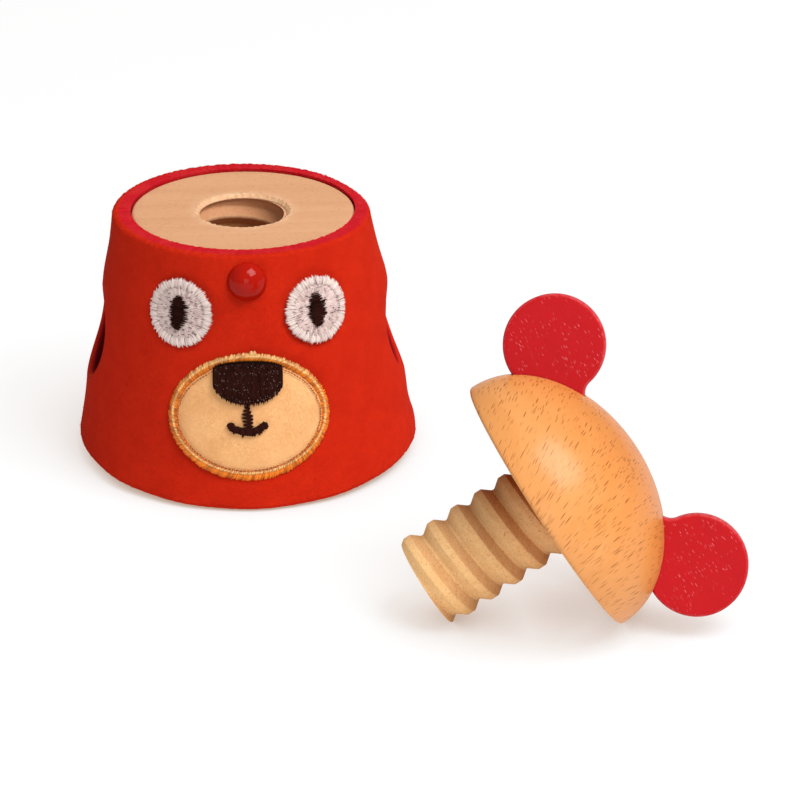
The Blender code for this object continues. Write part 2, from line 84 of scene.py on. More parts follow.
@dataclass
class Shell:
    """Points and faces worked out as arrays, which become one mesh.

    Faces are kept in groups, one for each number of corners. Values are numbers at the points, by attribute name.
    """

    points: Array
    faces: list[Array]
    corners: list[Array]
    values: dict[str, Array] = field(default_factory=dict)

    @staticmethod
    def joined(shells: list["Shell"]) -> "Shell":
        """Several shells as one, each with its own points.

        Args:
            shells: The shells, all with the same value names.

        Returns:
            One shell that holds them all.
        """
        starts = np.cumsum([0] + [len(shell.points) for shell in shells[:-1]])
        faces = [group + start for shell, start in zip(shells, starts) for group in shell.faces]
        corners = [group for shell in shells for group in shell.corners]
        values = {name: np.concatenate([shell.values[name] for shell in shells]) for name in shells[0].values}
        return Shell(np.concatenate([shell.points for shell in shells]), faces, corners, values)

    def piece(self, name: str, sharp_angle: float = 40.0) -> bpy.types.Object:
        """Makes the mesh object, with its faces outwards and smooth, at the origin.

        Args:
            name: The piece's name.
            sharp_angle: The angle in degrees from which an edge stays sharp.

        Returns:
            The new object, linked to the scene.
        """
        mesh = bpy.data.meshes.new(name)
        rows = [row for group in self.faces for row in group.tolist()]
        mesh.from_pydata(self.points.tolist(), [], rows)
        layer = mesh.uv_layers.new(name="surface")
        flat = np.concatenate([group.reshape(-1, 2) for group in self.corners])
        layer.data.foreach_set("uv", flat.astype(np.float32).ravel())
        for value_name, value in self.values.items():
            attribute = mesh.attributes.new(value_name, "FLOAT", "POINT")
            attribute.data.foreach_set("value", value.astype(np.float32))
        outwards = bmesh.new()
        outwards.from_mesh(mesh)
        bmesh.ops.recalc_face_normals(outwards, faces=outwards.faces)
        outwards.to_mesh(mesh)
        outwards.free()
        mesh.shade_smooth()
        mesh.set_sharp_from_angle(angle=math.radians(sharp_angle))
        piece = bpy.data.objects.new(name, mesh)
        bpy.context.scene.collection.objects.link(piece)
        return piece


def skin(points: Array, uv: Array | None = None, round_rows: bool = False, poles: bool = True, **values) -> Shell:
    """A closed surface over a grid whose columns go all the way round.

    Row r and column c hold the point for the two parameters. The columns wrap. The rows wrap too with round_rows,
    and otherwise the first and the last row each shrink to one point, a pole.

    Args:
        points: The grid, (rows, columns, 3).
        uv: Surface coordinates, (rows, columns + 1, 2), or None for shares of the grid.
        round_rows: Whether the last row joins the first.
        poles: Whether the end rows are poles, where the rows don't wrap.
        values: Numbers for each point, (rows, columns), by attribute name.

    Returns:
        The shell.
    """
    rows, columns = points.shape[:2]
    if uv is None:
        across, down = np.meshgrid(np.arange(columns + 1) / columns, np.arange(rows) / (rows - 1))
        uv = np.stack([across, down], axis=-1)
    vertex = np.arange(rows)[:, None] * columns + np.arange(columns + 1)[None, :] % columns
    poled = poles and not round_rows
    if poled:
        vertex[0] = 0
        vertex[-1] = (rows - 1) * columns
    if round_rows:
        vertex = np.concatenate([vertex, vertex[:1]])
        uv = np.concatenate([uv, uv[-1:] + (uv[-1:] - uv[-2:-1])])

    def ring(grid: Array) -> Array:
        return np.stack([grid[:-1, :-1], grid[1:, :-1], grid[1:, 1:], grid[:-1, 1:]], axis=2)

    quads, quad_uv = ring(vertex), ring(uv)
    if poled:
        first, last = quads[0][:, [0, 1, 2]], quads[-1][:, [0, 1, 3]]
        groups = [quads[1:-1].reshape(-1, 4), first, last]
        corners = [quad_uv[1:-1].reshape(-1, 4, 2), quad_uv[0][:, [0, 1, 2]], quad_uv[-1][:, [0, 1, 3]]]
    else:
        groups, corners = [quads.reshape(-1, 4)], [quad_uv.reshape(-1, 4, 2)]
    used, packed = np.unique(np.concatenate([group.ravel() for group in groups]), return_inverse=True)
    cuts = np.cumsum([group.size for group in groups])[:-1]
    faces = [part.reshape(-1, group.shape[1]) for part, group in zip(np.split(packed, cuts), groups)]
    flat = {name: np.broadcast_to(value, (rows, columns)).ravel()[used] for name, value in values.items()}
    return Shell(points.reshape(-1, 3)[used], faces, corners, flat)


def turned(profile: Array, columns: int) -> Array:
    """A turned surface: each (radius, height) of the profile is carried round Z.

    Args:
        profile: (rows, 2), from one pole to the other, down the outer side.
        columns: The number of steps round.

    Returns:
        The grid of points, (rows, columns, 3).
    """
    angle = TURN * np.arange(columns) / columns
    radius, height = profile[:, :1], profile[:, 1:]
    return np.stack([radius * np.cos(angle), radius * np.sin(angle), height + 0 * angle], axis=-1)


def arc(centre: tuple[float, float], radius: float, start: float, end: float, steps: int = 8) -> Array:
    """Points of an arc with both ends, angles in degrees.

    Args:
        centre: The arc's centre.
        radius: Its radius.
        start: The angle of its first point.
        end: The angle of its last point.
        steps: The number of stretches.

    Returns:
        The points, (steps + 1, 2).
    """
    angle = np.radians(np.linspace(start, end, steps + 1))
    return np.stack([centre[0] + radius * np.cos(angle), centre[1] + radius * np.sin(angle)], axis=-1)


def run(start: tuple[float, float], end: tuple[float, float], steps: int) -> Array:
    """Points of a straight run with both ends.

    Args:
        start: Its first point.
        end: Its last point.
        steps: The number of stretches.

    Returns:
        The points, (steps + 1, 2).
    """
    share = np.linspace(0, 1, steps + 1)[:, None]
    return np.array(start) * (1 - share) + np.array(end) * share


def path(*stretches: Array) -> Array:
    """Stretches joined end to end, with points that fall together kept once.

    Args:
        stretches: Point lists, (n, 2) each.

    Returns:
        One list of points.
    """
    points = np.concatenate(stretches)
    apart = np.linalg.norm(np.diff(points, axis=0), axis=1) > 1e-7
    return points[np.concatenate([[True], apart])]


def carve(piece: bpy.types.Object, *cutters: bpy.types.Object) -> None:
    """Cuts a piece with closed cutters and removes them.

    Args:
        piece: The piece, whose mesh is replaced by the cut one.
        cutters: What is cut away.
    """
    for cutter in cutters:
        cut = piece.modifiers.new(cutter.name, "BOOLEAN")
        cut.operation = "DIFFERENCE"
        cut.solver = "EXACT"
        cut.object = cutter
    graph = bpy.context.evaluated_depsgraph_get()
    mesh = bpy.data.meshes.new_from_object(piece.evaluated_get(graph), preserve_all_data_layers=True, depsgraph=graph)
    piece.modifiers.clear()
    piece.data = mesh
    mesh.set_sharp_from_angle(angle=math.radians(35))
    for cutter in cutters:
        bpy.data.objects.remove(cutter, do_unlink=True)


# The nut's cone, on which the face is laid


@dataclass(frozen=True)
class Cone:
    """The outside of the felt: radius falls evenly from base to top."""

    base_radius: float = 0.0400
    top_radius: float = 0.0295
    height: float = 0.0580

    @property
    def taper(self) -> float:
        """How much the radius falls for each unit of height."""
        return (self.base_radius - self.top_radius) / self.height

    @property
    def angle(self) -> float:
        """The angle of the side from upright, in radians."""
        return math.atan(self.taper)

    def radius(self, height: Array | float, outward: float = 0.0) -> Array | float:
        """The cone's radius at a height, or that of a cone that lies outward of it.

        Args:
            height: The height over the base.
            outward: The distance from the cone, square to its side.

        Returns:
            The radius.
        """
        return self.base_radius - self.taper * height + outward / math.cos(self.angle)

    def lay(self, azimuth: float, slant: float, x: Array, y: Array, lift: Array | float) -> Array:
        """Lays a flat drawing on the cone.

        The drawing stands square to the cone's side at its middle. Each point goes straight back until it meets the
        cone, at the root of a quadratic, and then out by lift along the side's own normal there.

        Args:
            azimuth: The middle's angle from the front, in radians, to the right.
            slant: The middle's distance up the side.
            x: Distances to the right.
            y: Distances up the side.
            lift: Distances out of the side.

        Returns:
            The points, with three coordinates on the last axis.
        """
        cos, sin = math.cos(self.angle), math.sin(self.angle)
        front = self.radius(slant * cos) - y * sin
        square = (cos**2 - sin**2) / cos**2
        linear = 2 * front / cos
        back = (np.sqrt(linear**2 - 4 * square * x**2) - linear) / (2 * square)
        depth = front + back * cos
        height = slant * cos + y * cos + back * sin
        around = azimuth + np.arctan2(x, depth)
        radius = np.hypot(x, depth) + lift * cos
        return np.stack([radius * np.sin(around), -radius * np.cos(around), height + lift * sin], axis=-1)

    def flat(self, azimuth: float, slant: float, angle: Array, height: Array) -> tuple[Array, Array]:
        """Where a point of the cone lies in a drawing: the plan that lay would lay there.

        Args:
            azimuth: The drawing's middle, as in lay.
            slant: The drawing's middle, as in lay.
            angle: The point's angle from the front, to the right.
            height: The point's height.

        Returns:
            The distances to the right and up the side.
        """
        cos, sin = math.cos(self.angle), math.sin(self.angle)
        turn = np.arctan2(np.sin(angle - azimuth), np.cos(angle - azimuth))
        radius = self.radius(height)
        x = np.where(np.abs(turn) < TURN / 4, radius * np.sin(turn), 1.0)
        depth = radius * np.cos(turn) - self.radius(slant * cos)
        return x, (height - slant * cos) * cos - depth * sin


CONE = Cone()


@dataclass(frozen=True)
class Spot:
    """A place on the cone that a drawing is laid round."""

    azimuth: float
    slant: float

    def lay(self, x: Array, y: Array, lift: Array | float) -> Array:
        """Lays a drawing here, as Cone.lay does."""
        return CONE.lay(self.azimuth, self.slant, x, y, lift)


# Shader graphs


class Graph:
    """Builds the nodes of one tree. A value may be a number, a colour or another node's output."""

    def __init__(self, tree: bpy.types.NodeTree) -> None:
        self.tree = tree

    def node(self, kind: str, inputs: dict | None = None, **settings) -> bpy.types.Node:
        """Adds a node.

        Args:
            kind: The node's type, without its ShaderNode.
            inputs: Values for its inputs, by name or number.
            settings: Its other properties.

        Returns:
            The node.
        """
        made = self.tree.nodes.new("ShaderNode" + kind if not kind.startswith("NodeGroup") else kind)
        for key, value in settings.items():
            setattr(made, key, value)
        for key, value in (inputs or {}).items():
            self.feed(made.inputs[key], value)
        return made

    def feed(self, socket: bpy.types.NodeSocket, value) -> None:
        """Links or sets one input."""
        if isinstance(value, bpy.types.NodeSocket):
            self.tree.links.new(value, socket)
        elif isinstance(value, tuple) and len(value) == 3 and socket.type == "RGBA":
            socket.default_value = (*value, 1.0)
        else:
            socket.default_value = value

    def math(self, operation: str, *values, clamp: bool = False) -> bpy.types.NodeSocket:
        """A Math node's result."""
        made = self.node("Math", dict(enumerate(values)), operation=operation)
        made.use_clamp = clamp
        return made.outputs[0]

    def step(self, value, low: float, high: float) -> bpy.types.NodeSocket:
        """A smooth step from 0 at low to 1 at high, or down where low is the greater.

        Args:
            value: What is tested.
            low: Where the result is 0.
            high: Where the result is 1.

        Returns:
            The result's socket.
        """
        ends = {"From Min": min(low, high), "From Max": max(low, high)}
        ends.update({"To Min": float(low > high), "To Max": float(low <= high)})
        made = self.node("MapRange", {"Value": value, **ends}, interpolation_type="SMOOTHSTEP")
        return made.outputs[0]

    def mix(self, factor, a, b) -> bpy.types.NodeSocket:
        """A colour between a and b."""
        made = self.node("Mix", data_type="RGBA")
        for index, value in ((0, factor), (6, a), (7, b)):
            self.feed(made.inputs[index], value)
        return made.outputs[2]

    def noise(self, vector, scale: float, detail: float = 2.0, distortion: float = 0.0) -> bpy.types.NodeSocket:
        """A noise texture's value, with scale in waves for each metre."""
        values = {"Vector": vector, "Scale": scale, "Detail": detail, "Distortion": distortion}
        return self.node("TexNoise", values).outputs[0]

    def stretched(self, vector, scale: tuple[float, float, float]) -> bpy.types.NodeSocket:
        """Coordinates times a scale for each axis."""
        return self.node("VectorMath", {0: vector, 1: scale}, operation="MULTIPLY").outputs[0]


def group(name: str, inputs: dict[str, str], outputs: dict[str, str]) -> tuple[bpy.types.NodeTree, Graph, dict, dict]:
    """An empty node group with named sockets.

    Args:
        name: The group's name.
        inputs: Each input's socket type, by name.
        outputs: Each output's socket type, by name.

    Returns:
        The tree, its graph, the sockets that its inputs give, and the sockets that its outputs take.
    """
    tree = bpy.data.node_groups.new(name, "ShaderNodeTree")
    for side, sockets in (("INPUT", inputs), ("OUTPUT", outputs)):
        for socket_name, kind in sockets.items():
            tree.interface.new_socket(name=socket_name, in_out=side, socket_type="NodeSocket" + kind)
    graph = Graph(tree)
    given = graph.node("NodeGroupInput").outputs
    taken = graph.node("NodeGroupOutput").inputs
    return tree, graph, {key: given[key] for key in inputs}, {key: taken[key] for key in outputs}


def beech_figure() -> bpy.types.NodeTree:
    """Beech's figure, with the fibres along Z: slow tone, fine fibres, faint rings round a pith, and short flecks.

    A fleck is a kept cell of a Voronoi field. Its cells are thin across the fibres, which is X, long along them, which
    is Z, and as deep in Y as a ray of the wood.

    Returns:
        The group, with outputs Tone, Fleck and Height, from 0 to 1.
    """
    numbers = {name: "Float" for name in ("Fleck Share", "Fleck Reach", "Across", "Along", "Deep", "Ring Spacing")}
    tree, graph, given, taken = group(
        "beech figure", {"Vector": "Vector", **numbers}, {"Tone": "Float", "Fleck": "Float", "Height": "Float"}
    )
    vector = given["Vector"]
    slow = graph.noise(graph.stretched(vector, (1, 1, 0.12)), 170, 3)
    fibres = graph.noise(graph.stretched(vector, (1, 1, 0.05)), 3400, 2)
    pith = graph.node("VectorMath", {0: vector, 1: (0.031, 0.044, 0.0)}, operation="SUBTRACT").outputs[0]
    from_pith = graph.node("VectorMath", {0: graph.stretched(pith, (1, 1, 0))}, operation="LENGTH").outputs["Value"]
    bent = graph.math("MULTIPLY_ADD", slow, 0.004, from_pith)
    ring = graph.math("FRACT", graph.math("DIVIDE", bent, given["Ring Spacing"]))
    tone = graph.math("MULTIPLY_ADD", ring, 0.22, graph.math("MULTIPLY_ADD", slow, 0.7, -0.05))
    graph.feed(taken["Tone"], graph.math("MULTIPLY_ADD", fibres, 0.26, tone, clamp=True))

    wavy = graph.node("TexNoise", {"Vector": vector, "Scale": 260.0, "Detail": 1.0}).outputs["Color"]
    sway = graph.node("VectorMath", {0: wavy, 1: (0.0004, 0.0004, 0.0015), 2: vector}, operation="MULTIPLY_ADD").outputs[0]
    spacing = graph.node("CombineXYZ", {0: given["Across"], 1: given["Deep"], 2: given["Along"]}).outputs[0]
    cells = graph.stretched(sway, spacing)
    voronoi = graph.node("TexVoronoi", {"Vector": cells, "Scale": 1.0}, feature="F1", voronoi_dimensions="3D")
    chance = graph.node("SeparateColor", {0: voronoi.outputs["Color"]}).outputs
    kept = graph.math("LESS_THAN", chance[0], given["Fleck Share"])
    reach = graph.math("MULTIPLY", given["Fleck Reach"], graph.math("MULTIPLY_ADD", chance[1], 0.7, 0.65))
    near = graph.math("SUBTRACT", 1.0, graph.math("DIVIDE", voronoi.outputs["Distance"], reach), clamp=True)
    strong = graph.math("MULTIPLY_ADD", chance[2], 0.6, 0.4)
    fleck = graph.math("MULTIPLY", graph.math("MULTIPLY", graph.step(near, 0.0, 0.5), kept), strong)
    graph.feed(taken["Fleck"], fleck)
    relief = graph.math("MULTIPLY_ADD", fibres, 0.35, graph.math("MULTIPLY", fleck, -0.8))
    graph.feed(taken["Height"], graph.math("ADD", relief, 0.6))
    return tree


def wool_felt() -> bpy.types.NodeTree:
    """Pressed wool: cloudy tone with matted fibres, which are thin bright bands of two crossed, swirled noises.

    Returns:
        The group, with outputs Tone, Fibre and Height, from 0 to 1.
    """
    tree, graph, given, taken = group(
        "wool felt", {"Vector": "Vector"}, {"Tone": "Float", "Fibre": "Float", "Height": "Float"}
    )
    vector = given["Vector"]
    cloud = graph.noise(vector, 190, 4)
    grainy = graph.noise(vector, 2100, 3)
    graph.feed(taken["Tone"], graph.math("MULTIPLY_ADD", cloud, 0.6, graph.math("MULTIPLY", grainy, 0.4)))
    strands = []
    for scale, distortion in ((620, 2.2), (900, 3.0)):
        swirl = graph.noise(vector, scale, 2, distortion)
        middle = graph.math("ABSOLUTE", graph.math("SUBTRACT", swirl, 0.5))
        strands.append(graph.step(middle, 0.022, 0.0))
    fibre = graph.math("MAXIMUM", *strands)
    graph.feed(taken["Fibre"], fibre)
    graph.feed(taken["Height"], graph.math("MULTIPLY_ADD", fibre, 0.35, graph.math("MULTIPLY", grainy, 0.65)))
    return tree


def spun_thread() -> bpy.types.NodeTree:
    """Twisted thread on its own surface coordinates: plies wind round it, a wave of across plus along.

    Returns:
        The group, with outputs Tone, from 0 at a gap to 1 on a crown, and Height.
    """
    tree, graph, given, taken = group(
        "spun thread",
        {"Surface": "Vector", "Tint": "Float", "Dip": "Float", "Vector": "Vector"},
        {"Tone": "Float", "Height": "Float"},
    )
    place = graph.node("SeparateXYZ", {0: given["Surface"]}).outputs
    wound = graph.math("MULTIPLY_ADD", place[0], 2.0, place[1])
    ply = graph.math("MULTIPLY_ADD", graph.math("SINE", graph.math("MULTIPLY", wound, TURN)), 0.5, 0.5)
    hair = graph.noise(given["Vector"], 5200, 2)
    # The tint is each strand's own tone; the ply wave darkens it between plies, a painted shade.
    tone = graph.math("MULTIPLY_ADD", given["Tint"], 0.55, graph.math("MULTIPLY", ply, 0.16))
    tone = graph.math("MULTIPLY_ADD", hair, 0.3, tone)
    # Painted shade: the dip darkens the thread where a stitch sinks into the cloth and on the ground under stitches.
    graph.feed(taken["Tone"], graph.math("MULTIPLY_ADD", given["Dip"], -0.7, tone, clamp=True))
    graph.feed(taken["Height"], graph.math("MULTIPLY_ADD", hair, 0.5, ply))
    return tree


def worn_and_highlit_edge() -> bpy.types.NodeTree:
    """Pale wear and a painted highlight along rounded edges, broken up by noise.

    Returns:
        The group, with the output Mask, from 0 to 1.
    """
    tree, graph, given, taken = group("worn and highlit edge", {"Edge": "Float", "Vector": "Vector"}, {"Mask": "Float"})
    broken = graph.math("MULTIPLY_ADD", graph.noise(given["Vector"], 900, 3), 1.4, -0.35)
    graph.feed(taken["Mask"], graph.math("MULTIPLY", given["Edge"], broken, clamp=True))
    return tree


@dataclass(frozen=True)
class Groups:
    """The shader groups that materials share, built once."""

    beech: bpy.types.NodeTree
    felt: bpy.types.NodeTree
    thread: bpy.types.NodeTree
    wear_and_highlight: bpy.types.NodeTree

    @staticmethod
    def built() -> "Groups":
        """Builds every group."""
        return Groups(beech_figure(), wool_felt(), spun_thread(), worn_and_highlit_edge())


def new_material(name: str, **constants) -> tuple[bpy.types.Material, Graph, bpy.types.Node]:
    """A Principled material with constants on its own sockets.

    Args:
        name: The material's name.
        constants: Socket values, with spaces in their names as underscores.

    Returns:
        The material, its graph and its shader node.
    """
    material = bpy.data.materials.new(name)
    material.use_nodes = True
    shader = material.node_tree.nodes["Principled BSDF"]
    for key, value in constants.items():
        socket = shader.inputs[key.replace("_", " ")]
        socket.default_value = (*value, 1.0) if isinstance(value, tuple) and len(value) == 3 else value
    return material, Graph(material.node_tree), shader


def bump(graph: Graph, shader: bpy.types.Node, height, distance: float, strength: float = 1.0) -> None:
    """Feeds a shader's normal from a height.

    Args:
        graph: The material's graph.
        shader: Its shader.
        height: The height, from 0 to 1.
        distance: What a height of 1 stands for, in metres.
        strength: The share of it that shows.
    """
    made = graph.node("Bump", {"Height": height, "Distance": distance, "Strength": strength})
    graph.feed(shader.inputs["Normal"], made.outputs[0])


def in_frame(graph: Graph, placement: Matrix) -> bpy.types.NodeSocket:
    """Object coordinates as a placed frame sees them.

    Args:
        graph: The material's graph.
        placement: The frame.

    Returns:
        The coordinates' socket.
    """
    inverse = placement.inverted()
    mapping = graph.node("Mapping", {"Vector": graph.node("TexCoord").outputs["Object"]}, vector_type="POINT")
    mapping.inputs["Location"].default_value = inverse.translation
    mapping.inputs["Rotation"].default_value = inverse.to_euler("XYZ")
    return mapping.outputs[0]


@dataclass(frozen=True)
class Figure:
    """How beech's flecks and rings lie: how many fleck cells a metre holds each way, and what share shows."""

    share: float
    reach: float
    across: float
    along: float
    deep: float
    rings: float
    fan: tuple[float, float] | None = None

    def fanned(self, graph: Graph, vector: bpy.types.NodeSocket) -> bpy.types.NodeSocket:
        """Coordinates of fibres that spread from a root in the plane of X and Z.

        X becomes the angle round the root times a length of 70 mm, and Z the distance from the root.

        Args:
            graph: The material's graph.
            vector: Plain coordinates.

        Returns:
            The coordinates' socket.
        """
        parts = graph.node("SeparateXYZ", {0: vector}).outputs
        out_x = graph.math("SUBTRACT", parts[0], self.fan[0])
        out_z = graph.math("SUBTRACT", parts[2], self.fan[1])
        around = graph.math("MULTIPLY", graph.math("ARCTAN2", out_x, out_z), 0.070)
        squares = graph.math("MULTIPLY_ADD", out_x, out_x, graph.math("MULTIPLY", out_z, out_z))
        return graph.node("CombineXYZ", {0: around, 1: parts[1], 2: graph.math("SQRT", squares)}).outputs[0]

    def drawn(self, graph: Graph, groups: "Groups", vector: bpy.types.NodeSocket) -> bpy.types.NodeOutputs:
        """The beech group's outputs with these values.

        Args:
            graph: The material's graph.
            groups: The shared shader groups.
            vector: Coordinates whose Z runs along the fibres.

        Returns:
            The outputs Tone, Fleck and Height.
        """
        values = {"Fleck Share": self.share, "Fleck Reach": self.reach, "Across": self.across}
        values.update({"Along": self.along, "Deep": self.deep, "Ring Spacing": self.rings})
        place = self.fanned(graph, vector) if self.fan else vector
        made = graph.node("Group", node_tree=groups.beech)
        for key, value in {"Vector": place, **values}.items():
            graph.feed(made.inputs[key], value)
        return made.outputs


@dataclass(frozen=True)
class BeechFinish:
    """Beech, bare or lacquered, with its fibres along the Z of its own placement."""

    name: str
    pale: Colour
    deep: Colour
    fleck: Colour
    figure: Figure
    roughness: float
    fleck_strength: float
    relief: float
    coat: float = 0.0
    coat_roughness: float = 0.16
    specular: float = 0.35
    # Pale wear on the nut's mouth, and the colour of the painted highlight along the bore's thread ridge.
    worn_and_highlit: Colour = (0.90, 0.62, 0.38)
    # The colour that painted shade darkens the wood toward.
    shaded: Colour | None = None

    def dressed(self, groups: Groups, placement: Matrix) -> bpy.types.Material:
        """Builds the material.

        Args:
            groups: The shared shader groups.
            placement: The frame whose Z runs along the fibres.

        Returns:
            The material.
        """
        material, graph, shader = new_material(
            self.name, Coat_Weight=self.coat, Coat_Roughness=self.coat_roughness, Specular_IOR_Level=self.specular
        )
        tone, fleck, height = self.figure.drawn(graph, groups, in_frame(graph, placement))
        wood = graph.mix(tone, self.deep, self.pale)
        # Painted shade: the shade attribute darkens the wood toward the shaded colour.
        shade = graph.node("Attribute", attribute_name="shade").outputs["Fac"]
        toned = graph.mix(graph.math("MULTIPLY", shade, 0.6), wood, self.shaded or self.fleck)
        # The edge mask mixes in pale wear and a painted highlight.
        wear_and_highlight = graph.node("Group", node_tree=groups.wear_and_highlight)
        graph.feed(wear_and_highlight.inputs["Vector"], graph.node("TexCoord").outputs["Object"])
        graph.feed(wear_and_highlight.inputs["Edge"], graph.node("Attribute", attribute_name="edge").outputs["Fac"])
        edged = graph.mix(wear_and_highlight.outputs[0], toned, self.worn_and_highlit)
        marked = graph.math("MULTIPLY", fleck, self.fleck_strength)
        graph.feed(shader.inputs["Base Color"], graph.mix(marked, edged, self.fleck))
        graph.feed(shader.inputs["Roughness"], graph.math("MULTIPLY_ADD", tone, 0.12, self.roughness))
        bump(graph, shader, height, self.relief)
        return material


@dataclass(frozen=True)
class PaintFinish:
    """Satin paint on wood: open pores show pale along the grain, and edges are a little worn and carry a painted
    highlight.
    """

    name: str
    paint: Colour
    deep: Colour
    pore: Colour
    figure: Figure
    roughness: float

    def dressed(self, groups: Groups, placement: Matrix) -> bpy.types.Material:
        """Builds the material.

        Args:
            groups: The shared shader groups.
            placement: The frame whose Z runs along the fibres.

        Returns:
            The material.
        """
        material, graph, shader = new_material(
            self.name, Coat_Weight=0.08, Coat_Roughness=0.20, Specular_IOR_Level=0.06
        )
        tone, fleck, height = self.figure.drawn(graph, groups, in_frame(graph, placement))
        place = graph.node("TexCoord").outputs["Object"]
        wear_and_highlight = graph.node("Group", node_tree=groups.wear_and_highlight)
        graph.feed(wear_and_highlight.inputs["Vector"], place)
        graph.feed(wear_and_highlight.inputs["Edge"], graph.node("Attribute", attribute_name="edge").outputs["Fac"])
        painted = graph.mix(tone, self.deep, self.paint)
        patchy = graph.step(graph.noise(place, 210, 3), 0.36, 0.62)
        pores = graph.math("MULTIPLY", graph.math("MULTIPLY", fleck, 0.65), patchy)
        # Pale rims: wear and a painted highlight, through the edge mask.
        showing = graph.math("MAXIMUM", pores, graph.math("MULTIPLY", wear_and_highlight.outputs[0], 0.38))
        graph.feed(shader.inputs["Base Color"], graph.mix(showing, painted, self.pore))
        graph.feed(shader.inputs["Roughness"], graph.math("MULTIPLY_ADD", tone, 0.15, self.roughness))
        bump(graph, shader, height, 0.00003)
        return material


@dataclass(frozen=True)
class FeltFinish:
    """Wool felt, with another tone where it is cut through, and painted shade deeper inside the cut."""

    name: str
    face: Colour
    deep: Colour
    cut: Colour
    fleece: Colour
    shadow: Colour
    relief: float
    sheen: float
    fibre_strength: float

    def dressed(self, groups: Groups) -> bpy.types.Material:
        """Builds the material.

        Args:
            groups: The shared shader groups.

        Returns:
            The material.
        """
        material, graph, shader = new_material(
            self.name, Roughness=0.96, Sheen_Weight=self.sheen, Sheen_Roughness=0.45, Sheen_Tint=self.fleece
        )
        shader.inputs["Specular IOR Level"].default_value = 0.04
        place = graph.node("TexCoord").outputs["Object"]
        wool = graph.node("Group", node_tree=groups.felt)
        graph.feed(wool.inputs["Vector"], place)
        tone, fibre, height = wool.outputs
        parts = graph.node("SeparateXYZ", {0: place}).outputs
        across = graph.math("SQRT", graph.math("ADD", graph.math("POWER", parts[0], 2.0), graph.math("POWER", parts[1], 2.0)))
        outside = graph.math("MULTIPLY_ADD", parts[2], -CONE.taper, CONE.base_radius)
        inward = graph.math("SUBTRACT", outside, across)
        inside = graph.step(inward, 0.0005, 0.0014)
        dyed = graph.mix(graph.step(tone, 0.1, 0.9), self.deep, self.face)
        opened = graph.mix(graph.step(tone, 0.42, 0.62), self.cut, self.fleece)
        body = graph.mix(graph.math("MULTIPLY", fibre, self.fibre_strength), dyed, self.fleece)
        wall = graph.mix(0.35, self.cut, opened)
        # Painted shade: deeper in the felt, except near the top edge, the cut takes the shadow colour.
        below = graph.step(parts[2], CONE.height - 0.003, CONE.height - 0.006)
        shaded = graph.math("MULTIPLY", graph.step(inward, 0.0002, 0.0020), below)
        graph.feed(shader.inputs["Base Color"], graph.mix(inside, body, graph.mix(shaded, wall, self.shadow)))
        bump(graph, shader, height, self.relief)
        return material


@dataclass(frozen=True)
class ThreadFinish:
    """Embroidery thread. The outer share of a two-tone band has its own colour, on the border and nose a painted
    highlight.
    """

    name: str
    crown: Colour
    gap: Colour
    outer: Colour
    roughness: float = 0.42
    sheen: float = 0.0
    specular: float = 0.5

    def dressed(self, groups: Groups) -> bpy.types.Material:
        """Builds the material.

        Args:
            groups: The shared shader groups.

        Returns:
            The material.
        """
        material, graph, shader = new_material(
            self.name,
            Roughness=self.roughness,
            Sheen_Weight=self.sheen,
            Sheen_Roughness=0.3,
            Specular_IOR_Level=self.specular,
        )
        spun = graph.node("Group", node_tree=groups.thread)
        graph.feed(spun.inputs["Surface"], graph.node("UVMap", uv_map="surface").outputs[0])
        graph.feed(spun.inputs["Vector"], graph.node("TexCoord").outputs["Object"])
        graph.feed(spun.inputs["Tint"], graph.node("Attribute", attribute_name="tint").outputs["Fac"])
        graph.feed(spun.inputs["Dip"], graph.node("Attribute", attribute_name="dip").outputs["Fac"])
        band = graph.step(graph.node("Attribute", attribute_name="band").outputs["Fac"], 0.35, 0.75)
        lit = graph.mix(band, self.crown, self.outer)
        # The gap colour is the darkest tone: of darker strands, and of painted shade between plies and where stitches
        # sink in.
        graph.feed(shader.inputs["Base Color"], graph.mix(spun.outputs[0], self.gap, lit))
        bump(graph, shader, spun.outputs[1], 0.00003)
        return material


@dataclass(frozen=True)
class GlossFinish:
    """Thick clear lacquer over stained wood."""

    name: str
    stain: Colour
    deep: Colour

    def dressed(self, groups: Groups) -> bpy.types.Material:
        """Builds the material.

        Args:
            groups: The shared shader groups.

        Returns:
            The material.
        """
        material, graph, shader = new_material(
            self.name, Coat_Weight=0.30, Coat_Roughness=0.05, Specular_IOR_Level=0.0
        )
        place = graph.node("TexCoord").outputs["Object"]
        cloud = graph.noise(place, 420, 3)
        graph.feed(shader.inputs["Base Color"], graph.mix(cloud, self.deep, self.stain))
        graph.feed(shader.inputs["Roughness"], graph.math("MULTIPLY_ADD", cloud, 0.15, 0.35))
        bump(graph, shader, graph.noise(place, 700, 2), 0.00002)
        return material


# Sub-assemblies


def settle(piece: bpy.types.Object, body: Body, slot: str, material: bpy.types.Material, *nodes: str) -> None:
    """Gives a finished piece its material and body, and hides the solids that it stands for.

    Args:
        piece: The piece.
        body: The body that it rides on.
        slot: The record's material slot; not used.
        material: Its finish.
        nodes: The solids that it stands for.
    """
    piece.data.materials.clear()
    piece.data.materials.append(material)
    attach(piece, body.value)
    if nodes:
        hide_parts(*nodes)
    log.info("%s: %d faces on %s", piece.name, len(piece.data.polygons), body.value)


